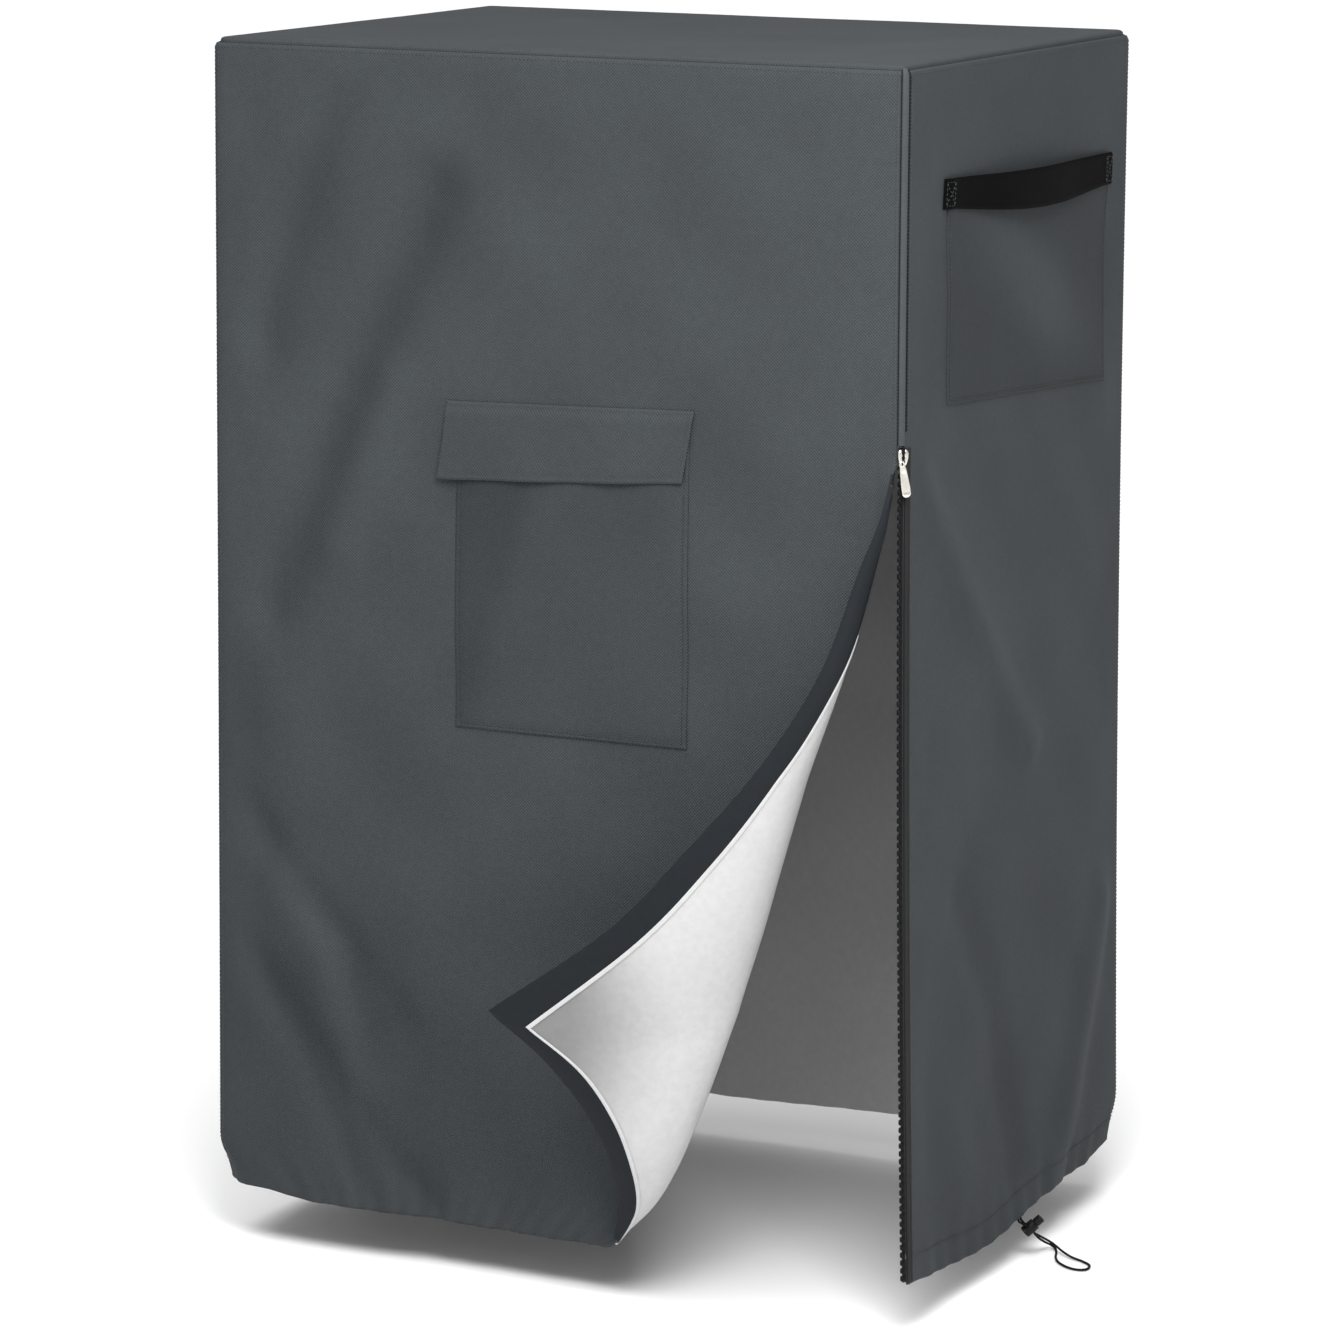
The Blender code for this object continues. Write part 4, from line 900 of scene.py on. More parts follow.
def make_wall(context, name, side, surface, solid):
    """One wall: its skin, drawn in at its two side seams and its top seam, with a turned hem."""
    start = seam_along(side, -1)
    end = seam_along(side, 1)
    u = steps(start, end, COLUMNS_STEP)[None, :]
    v = steps(TOP_SEAM, HEIGHT, ROWS_STEP)[:, None]
    drawn = np.maximum(np.maximum(groove(u - start), groove(end - u)), groove(v - TOP_SEAM))
    high = hem_relief(HEIGHT - v) - drawn - rounded(HEIGHT - v)
    materials = [finish_of(context, "outer_cloth"), finish_of(context, "lining")]
    piece = put_layer(name, surface, u, v, -CLOTH, high, materials)
    # Painted light and shade by the folds, and painted shade on the lower part
    set_painted_shade(piece, wall_painted_shade(side, u, v))
    declare_cloth(piece, (end - start, HEIGHT), "cover_cloth", solid)


def make_walls(context):
    """The right, back and left walls."""
    make_wall(context, "right_cover", "right", right_cloth, "right_panel")
    make_wall(context, "back_cover", "back", back_cloth, "back_panel")
    make_wall(context, "left_cover", "left", left_cloth, "left_panel")


def stop_lining(piece, rows, columns, last_row, first_column):
    """Give the outer cloth's finish to the inner face above a row and past a column, at the fold's start."""
    slots = np.empty(len(piece.data.polygons), np.int32)
    piece.data.polygons.foreach_get("material_index", slots)
    inner = slots[rows * columns:2 * rows * columns].reshape(rows, columns)
    inner[:last_row, first_column:] = 0
    piece.data.polygons.foreach_set("material_index", slots)


def make_front(context):
    """The front wall and its folded-out corner, one cloth. Its columns past FOOT cross the fold."""
    start = seam_along("front", -1)
    body = steps(start, FOOT, COLUMNS_STEP, (True, False))
    u = np.concatenate([body, across_fold(FOLD_COLUMNS)])[None, :]
    above = steps(TOP_SEAM, TIP_DROP, FOLD_ROWS_STEP, (True, False))
    below = steps(TIP_DROP, HEIGHT, FOLD_ROWS_STEP, (False, True))
    v = np.concatenate([above, below[1:]])[:, None]
    closed = 1 - ease((v - SLIDER_DROP) / SEAM_ENDS)
    drawn = np.maximum(np.maximum(groove(u - start), groove(v - TOP_SEAM)), groove(FRONT_END - u) * closed)
    hem = hem_relief(HEIGHT - v) * ease((FOOT - u) / HEM_ENDS)
    high = hem - drawn - rounded(HEIGHT - v)
    materials = [finish_of(context, "outer_cloth"), finish_of(context, "lining")]
    piece = put_layer("front_cover", front_cloth, u, v, -CLOTH, high, materials)
    # Painted light and shade by the folds, and painted shade low down and on the left
    set_painted_shade(piece, wall_painted_shade("front", u, v))
    rows = int(np.searchsorted(v[:, 0], LINING_TOP))
    stop_lining(piece, len(v) - 1, u.shape[1] - 1, rows, len(body) - LINING_COLUMNS)
    declare_cloth(piece, (FRONT_END - start, HEIGHT), "cover_cloth", "front_panel")


def make_top(context):
    """The top: rings from the rim's seam, over its curl and inwards to the middle, which sags."""
    curls = np.linspace(SEAM_TURN, math.pi / 2, TOP_CURLS)
    fine = SEAM_TURN + SEAM_STEPS[:4] / EDGE_CURL
    curls = np.unique(np.concatenate([fine, curls[curls > fine[-1]]]))
    loops = []
    for side in SIDES:
        half = SIDES[side][3]
        radii = [ZIP_CORNER if at_zip else CORNER for at_zip in SIDES[side][4:6]]
        first = -(half - radii[0]) - radii[0] * SEAM_TURN
        last = half - radii[1] + radii[1] * SEAM_TURN
        loops.append((side, np.linspace(first, last, TOP_COLUMNS, endpoint=False)))
    rings = []
    for curl in curls:
        drop = EDGE_CURL * (1 - curl)
        rings.append(np.concatenate([wall(side, along, np.full(len(along), drop)) for side, along in loops]))
    rings = np.array(rings)
    outward = np.cross(np.roll(rings, -1, 1) - np.roll(rings, 1, 1), (0.0, 0.0, 1.0))
    outward = outward / np.linalg.norm(outward, axis=-1, keepdims=True)
    up = np.array([0.0, 0.0, 1.0])
    normal = np.cos(curls)[:, None, None] * outward + np.sin(curls)[:, None, None] * up
    shrink = np.linspace(1.0, TOP_MIDDLE, TOP_RINGS + 1)[1:, None, None]
    flat = rings[-1] * np.concatenate([shrink, shrink, np.ones_like(shrink)], -1)
    points = np.concatenate([rings, flat])
    normal = np.concatenate([normal, np.broadcast_to(up, flat.shape)])
    x = points[..., 0]
    y = points[..., 1]
    inside = (1 - (x * 2 / WIDTH) ** 2).clip(0) * (1 - (y * 2 / DEPTH) ** 2).clip(0)
    waves = sum(size * np.sin(across * x + down * y + start) for across, down, start, size in TOP_WAVES)
    points[..., 2] -= TOP_SAG * inside - waves * ease(inside * TOP_WAVES_GROW)
    drawn = groove((curls - SEAM_TURN) * EDGE_CURL)
    drawn = np.concatenate([drawn, np.zeros(len(flat))])[:, None, None]
    outer = points - drawn * normal
    inner = points - CLOTH * normal
    rows, columns = outer.shape[:2]
    size = rows * columns
    middle = np.array([[0.0, 0.0, points[-1, :, 2].mean()], [0.0, 0.0, points[-1, :, 2].mean() - CLOTH]])
    top_faces = grid_faces(rows, columns, 0, True)[:, ::-1]
    low_faces = grid_faces(rows, columns, size, True)
    last = np.arange(size - columns, size)
    cap = np.stack([last, np.roll(last, -1), np.full(columns, 2 * size)], -1)
    under = np.stack([np.roll(last, -1) + size, last + size, np.full(columns, 2 * size + 1)], -1)
    ring = np.arange(columns)
    rim = np.stack([np.roll(ring, -1), ring, ring + size, np.roll(ring, -1) + size], -1)
    vertices = np.concatenate([outer.reshape(-1, 3), inner.reshape(-1, 3), middle])
    faces = [*top_faces.tolist(), *cap.tolist(), *low_faces.tolist(), *under.tolist(), *rim.tolist()]
    slots = np.zeros(len(faces))
    slots[len(top_faces) + len(cap):len(faces) - len(rim)] = 1
    materials = [finish_of(context, "outer_cloth"), finish_of(context, "lining")]
    piece = put_mesh("top_cover", vertices, faces, vertices[:, :2], materials, slots)
    declare_cloth(piece, (WIDTH + EDGE_CURL, DEPTH + EDGE_CURL), "cover_cloth", "top_panel")


def make_facings(context):
    """Dark facings along the folded corner's two free edges, with pale piping between them and the lining."""
    for name, low, high in (("zip", FACING_TOP, TIP_DROP), ("hem", TIP_DROP, HEIGHT)):
        v = np.linspace(low, high, int((high - low) / FACING_STEP))[:, None]
        grown = ease((v - SLIDER_DROP - SEAM_ENDS) / BARE_GROWS)
        bare = (fold_value("bare", v) + FACING_PAST) * grown - FACING_PAST
        u = across_fold(bare + (FACING_END - bare) * FACING_ACROSS)
        points = front_cloth(u, v)
        run = row_lengths(points)
        width = run[:, -1:]
        out = rounded(np.minimum(run, width - run)) * FACING_ROUND - CLOTH - FACING
        piece = put_layer(f"{name}_facing_strip", front_cloth, u, v, out, -CLOTH + GAP,
                          [finish_of(context, "facing_cloth")])
        length = float(np.linalg.norm(np.diff(points[:, -1], axis=0), axis=-1).sum())
        v = v[v >= PIPING_TOP][:, None]
        row = row_lengths(front_cloth(across_fold(np.linspace(0, 1, PIPING_COLUMNS)), v))[:, -1:]
        u = across_fold(bare[-len(v):] + PIPING / row * PIPING_ACROSS)
        middle = PIPING_ACROSS.mean()
        half = PIPING_ACROSS[-1] - middle
        high = -CLOTH - FACING - PIPING_PROUD * (1 - ((PIPING_ACROSS - middle) / half) ** 4)
        piping = put_layer(f"{name}_piping", front_cloth, u, v, high, -CLOTH + GAP,
                           [finish_of(context, "piping")])
        declare_cloth(piece, (float(width.mean()), length), "facing_cloth", f"{name}_facing",
                      rests_on=["front_cover"], with_pieces=[piping])


def make_patch(context, name, solid, surface, box, step, full_of, painted_shade_at, below):
    """A patch pocket: cloth that stands off a wall by its fullness, open at its top."""
    left, right, top, low = box
    u = steps(left, right, step)[None, :]
    v = steps(top, low, PATCH_STEPS[1])[:, None]
    full = full_of(u, v)
    edge = np.minimum(np.minimum(u - left, right - u), low - v)
    high = GAP + full + POCKET_CLOTH - rounded(edge) - sunk_line(edge, PATCH_LINE)
    piece = put_layer(name, surface, u, v, full - GAP, high, [finish_of(context, "pocket_cloth")])
    # Painted light and shade over the pocket
    set_painted_shade(piece, painted_shade_at(u, v))
    declare_cloth(piece, (right - left, low - top), "pocket_cloth", solid, rests_on=[below])


def make_pockets(context):
    """The front pocket with its flap, and the side pocket."""
    # Painted light right of the front pocket's ridge and painted shade left of it; painted light on the side
    # pocket's fold and painted shade elsewhere
    def front_painted_shade(u, v):
        return POCKET_PAINTED_LIGHT - POCKET_PAINTED_SHADE * ease(-POCKET_PAINTED_SHADE_FROM - off_ridge(u, v))

    def side_painted_shade(u, v):
        return painted_shade_of(side_full, u, v, *SIDE_POCKET_PAINTED_SHADE) - SIDE_POCKET_PAINTED_DARK

    make_patch(context, "front_pocket_patch", "front_pocket", front_cloth,
               (POCKET_LEFT, POCKET_RIGHT, POCKET_TOP, POCKET_BOTTOM), PATCH_STEPS[0], pocket_full,
               front_painted_shade, "front_cover")
    make_flap(context)
    make_patch(context, "side_pocket_patch", "side_pocket", right_cloth,
               (SIDE_POCKET_FRONT, SIDE_POCKET_BACK, SIDE_POCKET_TOP, SIDE_POCKET_BOTTOM), PATCH_STEPS[1],
               side_full, side_painted_shade, "right_cover")


def make_flap(context):
    """The front pocket's flap: it lies over the pocket's top and waves along its free lower edge."""
    u = steps(FLAP_LEFT, POCKET_RIGHT, FLAP_STEPS[0])[None, :]
    v = steps(FLAP_TOP, FLAP_BOTTOM, FLAP_STEPS[1])[:, None]
    s = ((u - POCKET_LEFT) / (POCKET_RIGHT - POCKET_LEFT)).clip(0, 1)
    t = (v - FLAP_TOP) / (FLAP_BOTTOM - FLAP_TOP)
    over = (POCKET_CLOTH + GAP) * ease((v - FLAP_TOP) / FLAP_OVER)
    wave = FLAP_LIFT * t ** 2 * (FLAP_WAVE[0] + FLAP_WAVE[1] * np.cos(FLAP_WAVES * np.pi * s))
    low = GAP + over + POCKET_FULL * np.sin(np.pi * s) * t + wave
    edge = np.minimum(np.minimum(u - FLAP_LEFT, POCKET_RIGHT - u), np.minimum(FLAP_BOTTOM - v, v - FLAP_TOP))
    tilt = FLAP_TILT[0] + (FLAP_TILT[1] - FLAP_TILT[0]) * t
    sloped = v + tilt * (1 - 2 * s)
    slanted = u + FLAP_SLANT * (1 - 2 * t)
    high = low + POCKET_CLOTH - rounded(edge) * SOFT_ROUND - sunk_line(edge, FLAP_LINE)
    piece = put_layer("pocket_flap_cloth", front_cloth, slanted, sloped, low, high,
                      [finish_of(context, "outer_cloth")])
    declare_cloth(piece, (POCKET_RIGHT - FLAP_LEFT, FLAP_BOTTOM - FLAP_TOP), "cover_cloth", "pocket_flap",
                  rests_on=["front_cover", "front_pocket_patch"])


def strap_skin(s, w):
    """Outer face of the strap: s from front to back and w from its top to its bottom edge, in metres."""
    length = STRAP_BACK - STRAP_FRONT
    share = s / length
    bow = np.sin(np.pi * np.clip((share - STRAP_SEWN) / (1 - 2 * STRAP_SEWN), 0, 1))
    sag = STRAP_SAG[0] + (STRAP_SAG[1] - STRAP_SAG[0]) * w / (STRAP_BOTTOM - STRAP_TOP)
    drop = STRAP_TOP + w + sag * bow
    along = STRAP_FRONT + s
    skin = wall("right", along, side_drop(along, drop))
    front, back = STRAP_SEAT
    seat = ease((along - SIDE_POCKET_FRONT + front) / front) * ease((SIDE_POCKET_BACK + back - along) / back)
    skin[..., 0] += GAP + (POCKET_CLOTH + GAP) * seat + STRAP_BOW * bow ** STRAP_BOW_POWER + STRAP
    return skin


def make_strap(context):
    """The webbing carry strap, bowed out between its sewn ends, with rounded selvedges."""
    length = STRAP_BACK - STRAP_FRONT
    width = STRAP_BOTTOM - STRAP_TOP
    s = steps(0.0, length, STRAP_STEP)[None, :]
    middle = np.linspace(STRAP_STEP, width - STRAP_STEP, 8)
    w = np.concatenate([STRAP_EDGES, middle, width - STRAP_EDGES[::-1]])[:, None]
    edge = np.minimum(np.minimum(w, width - w), np.minimum(s, length - s))
    selvedge = SELVEDGE * np.exp(-((edge - SELVEDGE_INSET) / SELVEDGE_HALF) ** 2)
    high = selvedge - rounded(edge) * SOFT_ROUND
    piece = put_layer("carry_strap", strap_skin, s, w, -STRAP + rounded(edge) * SOFT_ROUND / 2, high,
                      [finish_of(context, "webbing")])
    declare_cloth(piece, (width, length * 1.01), "black_webbing", "handle_strap", rests_on=["right_cover"])


def make_tapes(context):
    """The closed zip's welt, round the corner, and the open half's tape under and outside the wall's edge."""
    half_turn = WELT_WIDTH / ZIP_CORNER / 2
    turns = np.linspace(SEAM_TURN - half_turn, SEAM_TURN + half_turn, 15)[None, :]
    v = steps(TOP_SEAM, SLIDER_DROP - SLIDER_HALF, ROWS_STEP)[:, None]
    across = (turns - SEAM_TURN) / half_turn
    high = WELT_PROUD * (1 - np.abs(across) ** 5) - WELT_SUNK * np.abs(across) ** 8
    piece = put_layer("zip_welt_strip", zip_corner, turns, v, -WELT_BACK, high,
                      [finish_of(context, "welt_cloth")])
    declare_cloth(piece, (WELT_WIDTH + 2 * WELT_TURNED, SLIDER_DROP), "zip_tape_cloth", "zip_welt",
                  rests_on=["front_cover"], area=WELT_WIDTH * SLIDER_DROP)
    start = -(DEPTH / 2 - ZIP_CORNER)
    u = np.linspace(start - ZIP_CORNER * TAPE_TURN, start + TAPE_UNDER, 18)[None, :]
    v = np.arange(TAPE_TOP - TAPE_ABOVE, TAPE_BOTTOM, ROWS_STEP)
    v = np.append(v, TAPE_BOTTOM)[:, None]
    piece = put_layer("open_zip_tape", right_cloth, u, v, -CLOTH - GAP - TAPE, -CLOTH - GAP,
                      [finish_of(context, "tape_cloth")])
    outside = steps(0.0, TAPE_OUTSIDE, BORDER_STEP)[None, :]
    high = TAPE_PROUD - rounded(TAPE_OUTSIDE - outside) / 2
    border = put_layer("zip_tape_border", right_cloth, seam_along("right", -1) + outside, v, -CLOTH / 2, high,
                       [finish_of(context, "tape_cloth")])
    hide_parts("zip_tape")


def make_teeth(context):
    """The open half's teeth: one small tapered block for each pitch down the tape's edge."""
    start = -(DEPTH / 2 - ZIP_CORNER)
    left = start - ZIP_CORNER * TEETH_TURN[1]
    right = start - ZIP_CORNER * TEETH_TURN[0]
    middle = (left + right) / 2
    half = (right - left) / 2
    count = int((TAPE_BOTTOM - TAPE_TOP) / TOOTH_PITCH)
    drops = TAPE_TOP + TOOTH_PITCH * (np.arange(count) + 0.5)
    wide, tall, height = (np.array(column)[None, :, None] for column in zip(*TOOTH_RINGS))
    u = middle + half * wide * TOOTH_CORNERS[None, None, :, 0] + 0 * drops[:, None, None]
    v = drops[:, None, None] + TOOTH / 2 * tall * TOOTH_CORNERS[None, None, :, 1]
    points = right_cloth(u, v) + (height * np.ones(u.shape))[..., None] * normals(right_cloth, u, v)
    sides = len(TOOTH_CORNERS)
    each = len(TOOTH_RINGS) * sides
    quads = grid_faces(len(TOOTH_RINGS), sides, 0, True)[:, ::-1]
    top = (len(TOOTH_RINGS) - 1) * sides
    caps = np.array([(a + i, a + i + 1, a + 6 - i, a + 7 - i) for a in (0, top) for i in (0, 1, 2)])
    caps[:3] = caps[:3, ::-1]
    block = np.concatenate([quads, caps])
    faces = (block[None] + each * np.arange(count)[:, None, None]).reshape(-1, 4)
    uv = np.stack([u, -v], -1)
    declare_body(put_mesh("open_zip_teeth", points, faces, uv, [finish_of(context, "coil")]),
                 "zip_teeth")


def face_out(piece):
    """Turn every closed shell's faces out."""
    shells = bmesh.new()
    shells.from_mesh(piece.data)
    bmesh.ops.recalc_face_normals(shells, faces=shells.faces)
    shells.to_mesh(piece.data)
    shells.free()


def declare_body(piece, solid):
    """Turn a body's faces out, and hide the imported solid that it stands for."""
    face_out(piece)
    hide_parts(solid)


def smooth_route(points, count):
    """Evenly spaced points on a Catmull-Rom curve through the route's own."""
    points = np.array(points)
    ends = np.concatenate([2 * points[:1] - points[1:2], points, 2 * points[-1:] - points[-2:-1]])
    fine = []
    for i in range(len(points) - 1):
        p0, p1, p2, p3 = ends[i:i + 4]
        t = np.linspace(0, 1, 24, endpoint=False)[:, None]
        fine.append(0.5 * (2 * p1 + (p2 - p0) * t + (2 * p0 - 5 * p1 + 4 * p2 - p3) * t ** 2
                           + (3 * p1 - p0 - 3 * p2 + p3) * t ** 3))
    fine = np.concatenate(fine + [points[-1:]])
    length = np.concatenate([[0], np.cumsum(np.linalg.norm(np.diff(fine, axis=0), axis=1))])
    even = np.linspace(0, length[-1], count)
    return np.stack([np.interp(even, length, fine[:, k]) for k in range(3)], -1)


def capped_faces(count, sides):
    """Faces of a tube of rings, with one face over each end."""
    ends = [list(range(sides)), list(range(count * sides - 1, (count - 1) * sides - 1, -1))]
    return grid_faces(count, sides, 0, True).tolist() + ends


def tube(path, wide, tall, sides, up):
    """A capped tube along a path: an ellipse across it, wide beside and tall along its own up direction."""
    ahead = np.gradient(path, axis=0)
    ahead = ahead / np.linalg.norm(ahead, axis=-1, keepdims=True)
    beside = np.cross(ahead, up)
    beside = beside / np.linalg.norm(beside, axis=-1, keepdims=True)
    above = np.cross(beside, ahead)
    angle = np.linspace(0, 2 * np.pi, sides, endpoint=False)[None, :, None]
    points = path[:, None] + wide * np.cos(angle) * beside[:, None] + tall * np.sin(angle) * above[:, None]
    run = np.concatenate([[0], np.cumsum(np.linalg.norm(np.diff(path, axis=0), axis=-1))])
    around = np.abs(np.linspace(-1, 1, sides))[None, :] * np.pi * (wide + tall) / 2
    uv = np.stack(np.broadcast_arrays(around, run[:, None]), -1)
    return points.reshape(-1, 3), capped_faces(len(path), sides), uv.reshape(-1, 2)


def joined(parts):
    """Several bodies' points, faces and UV as one mesh's."""
    points, faces, uv = [], [], []
    for part_points, part_faces, part_uv in parts:
        first = sum(len(p) for p in points)
        faces += [[first + i for i in face] for face in part_faces]
        points.append(part_points)
        uv.append(part_uv)
    return np.concatenate(points), faces, np.concatenate(uv)


def stacked(rings):
    """A capped body through rings of points."""
    rings = np.array(rings)
    points = rings.reshape(-1, 3)
    return points, capped_faces(*rings.shape[:2]), points[:, :2]


def make_slider(context):
    """The slider: two lobes on a plate with a wavy gap between, and a pull that hangs by its ring."""
    across = np.array([math.sqrt(0.5), math.sqrt(0.5), 0.0])
    out = np.array([math.sqrt(0.5), -math.sqrt(0.5), 0.0])
    down = np.array([0.0, 0.0, -1.0])
    centre = zip_corner(np.array(SEAM_TURN), np.array(SLIDER_DROP)) + (WELT_PROUD + GAP) * out

    def place(x, y, z):
        return centre + x[..., None] * across + y[..., None] * down + z[..., None] * out

    angle = np.linspace(0, 2 * np.pi, SLIDER_POINTS, endpoint=False)
    round_in = np.sign(np.sin(angle)) * np.abs(np.sin(angle)) ** 0.5
    y = SLIDER_MIDDLE - SLIDER_HALF_PLATE * np.cos(angle)
    outer = np.interp(y, *SLIDER_OUTLINE)
    gap, wave, length = LOBE_GAP
    inner = gap + wave * np.sin(2 * np.pi * y / length)
    bodies = []
    for side, levels in ((0, PLATE_RINGS), (-1, LOBE_RINGS), (1, LOBE_RINGS)):
        middle = side * (outer + inner) / 2
        half = (outer - inner) / 2 if side else outer
        rings = [place(middle + half * round_in * size, SLIDER_MIDDLE + (y - SLIDER_MIDDLE) * size,
                       np.full(SLIDER_POINTS, height)) for size, height in levels]
        bodies.append(stacked(rings))
    points, faces, uv = joined(bodies)
    nickel = finish_of(context, "nickel")
    slots = np.ones(len(faces))
    slots[:len(bodies[0][1])] = 0
    slider = put_mesh("zip_slider_body", points, faces, uv, [finish_of(context, "coil"), nickel], slots)
    declare_body(slider, "zip_slider")
    tilted = math.cos(PULL_TILT) * down + math.sin(PULL_TILT) * across
    beside = math.cos(PULL_TILT) * across - math.sin(PULL_TILT) * down
    lift = SLIDER + GAP + PULL / 2
    hung = centre + PULL_DROP * down - PULL_ASIDE * across
    t = np.linspace(0, 2 * np.pi, 25)[:, None]
    ring = hung + EYE_WIDE * np.cos(t) * beside + (EYE_MIDDLE + EYE_TALL * np.sin(t)) * tilted
    eye = tube(ring + lift * out, *EYE_WIRE, 8, out)
    y = TAB_DOWN[:, None]
    x = TAB_ACROSS[None, :]
    half = np.interp(y, *TAB_OUTLINE)
    inside = ease((1 - np.abs(x)) * half / HOLLOW_INSET - 0.3)
    inside = inside * ease((y - HOLLOW_TOP) / HOLLOW_EASE) * ease((TAB_END - y) / HOLLOW_EASE)
    soft = (np.abs(x) ** 6 + ease((y - TAB_END) / TAB_SOFT) ** 2).clip(0, 1)
    back = PULL / 2 * (1 - 0.5 * soft)
    spot = hung + (x * half)[..., None] * beside + (y + 0 * x)[..., None] * tilted
    outer = spot + (lift + back - HOLLOW * inside)[..., None] * out
    inner = spot + (lift - back)[..., None] * out
    rows, columns = outer.shape[:2]
    tab_faces = np.concatenate([grid_faces(rows, columns), grid_faces(rows, columns, rows * columns)[:, ::-1],
                                rim_faces(rows, columns)]).tolist()
    tab_points = np.concatenate([outer.reshape(-1, 3), inner.reshape(-1, 3)])
    points, faces, uv = joined([eye, (tab_points, tab_faces, tab_points[:, :2])])
    declare_body(put_mesh("zip_pull_tab", points, faces, uv, [nickel]), "zip_pull")


def lock_axes():
    """The lock's own axis, the way through its slot, and the direction across both."""
    axis = LOCK_AXIS / np.linalg.norm(LOCK_AXIS)
    channel = LOCK_CHANNEL / np.linalg.norm(LOCK_CHANNEL)
    return axis, channel, np.cross(channel, axis)


def turned(profile, sides):
    """A round body about the lock's axis, from a profile of radius and height."""
    axis, channel = lock_axes()[:2]
    first = np.cross(axis, channel)
    first = first / np.linalg.norm(first)
    second = np.cross(axis, first)
    angle = np.linspace(0, 2 * np.pi, sides, endpoint=False)[:, None]
    ring = np.cos(angle) * first + np.sin(angle) * second
    return stacked([LOCK_CENTRE + height * axis + radius * ring for radius, height in profile])


def lock_profile():
    """The lock body's profile: rounded ends, and three grooves round it."""
    height = np.linspace(-LOCK_BELOW, LOCK_ABOVE, 49)
    edge = np.minimum(height + LOCK_BELOW, LOCK_ABOVE - height)
    radius = LOCK_RADIUS - LOCK_ROUND * (1 - np.sqrt(1 - (1 - (edge / LOCK_ROUND).clip(0, 1)) ** 2))
    for middle in LOCK_GROOVES:
        radius = radius - LOCK_GROOVE * np.exp(-((height - middle) / LOCK_GROOVE_HALF) ** 2)
    return list(zip(radius, height))


def make_cord(context):
    """The drawcord's free loop: a braided tube on the route's own points, with its lock and the button."""
    route = smooth_route(CORD_ROUTE, CORD_POINTS)
    plastic = [finish_of(context, "plastic")]
    points, faces, uv = turned(lock_profile(), 48)
    lock = put_mesh("cord_lock_body", points, faces, uv, plastic)
    face_out(lock)
    axis, channel, across = lock_axes()
    end = LOCK_SLOT[1] / 2
    straight = LOCK_SLOT[0] / 2 - end
    angle = np.linspace(-np.pi / 2, np.pi / 2, 12)
    x = np.concatenate([straight + end * np.cos(angle), -straight - end * np.cos(angle)])[:, None]
    y = np.concatenate([end * np.sin(angle), -end * np.sin(angle)])[:, None]
    outline = LOCK_CENTRE + x * across + y * axis
    reach = LOCK_SLOT_LENGTH / 2 * channel
    points, faces, uv = stacked([outline - reach, outline + reach])
    cutter = put_mesh("lock_slot", points, faces, uv, plastic)
    face_out(cutter)
    cut = lock.modifiers.new("Slot", "BOOLEAN")
    cut.operation = "DIFFERENCE"
    cut.solver = "EXACT"
    cut.object = cutter
    evaluated = lock.evaluated_get(context.evaluated_depsgraph_get())
    whole = lock.data
    lock.data = bpy.data.meshes.new_from_object(evaluated)
    lock.modifiers.clear()
    bpy.data.meshes.remove(whole)
    bpy.data.objects.remove(cutter, do_unlink=True)
    lock.data.set_sharp_from_angle(angle=LOCK_SHARP_ANGLE)
    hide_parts("cord_lock")
    low = LOCK_ABOVE + GAP
    top = LOCK_ABOVE + PLUNGER
    button = [(PLUNGER_RADIUS - inset, low + height) for inset, height in BUTTON_FOOT]
    button += [(PLUNGER_RADIUS - BUTTON_ROUND * (1 - math.cos(a)), top - BUTTON_ROUND * (1 - math.sin(a)))
               for a in np.linspace(0, np.pi / 2, 7)]
    button += [(radius, top - depth) for radius, depth in BUTTON_DISH]
    points, faces, uv = turned(button, 40)
    plunger = put_mesh("lock_button", points, faces, uv, plastic)
    declare_body(plunger, "lock_plunger")
    points, faces, uv = tube(route, CORD / 2, CORD / 2, CORD_SIDES, CORD_UP)
    cord = put_mesh("drawcord", points, faces, uv, [finish_of(context, "cord")])
    declare_body(cord, "cord_loop")


def stitch_run(surface, start, end, pitch, lift):
    """Stitches along a straight line of a skin: their places, directions and the skin's normals."""
    start = np.array(start, float)
    end = np.array(end, float)
    fine = start + (end - start) * np.linspace(0, 1, 200)[:, None]
    run = np.linalg.norm(np.diff(surface(fine[:, 0], fine[:, 1]), axis=0), axis=-1)
    run = np.concatenate([[0], np.cumsum(run)])
    count = max(int(run[-1] / pitch), 1)
    share = np.interp((np.arange(count) + 0.5) * run[-1] / count, run, np.linspace(0, 1, 200))
    u, v = (start + (end - start) * share[:, None]).T
    step = (end - start) * 0.0005 / max(run[-1], 0.001)
    normal = normals(surface, u, v)
    ahead = surface(u + step[0], v + step[1]) - surface(u - step[0], v - step[1])
    ahead = ahead / np.linalg.norm(ahead, axis=-1, keepdims=True)
    return surface(u, v) + lift * normal, ahead, normal


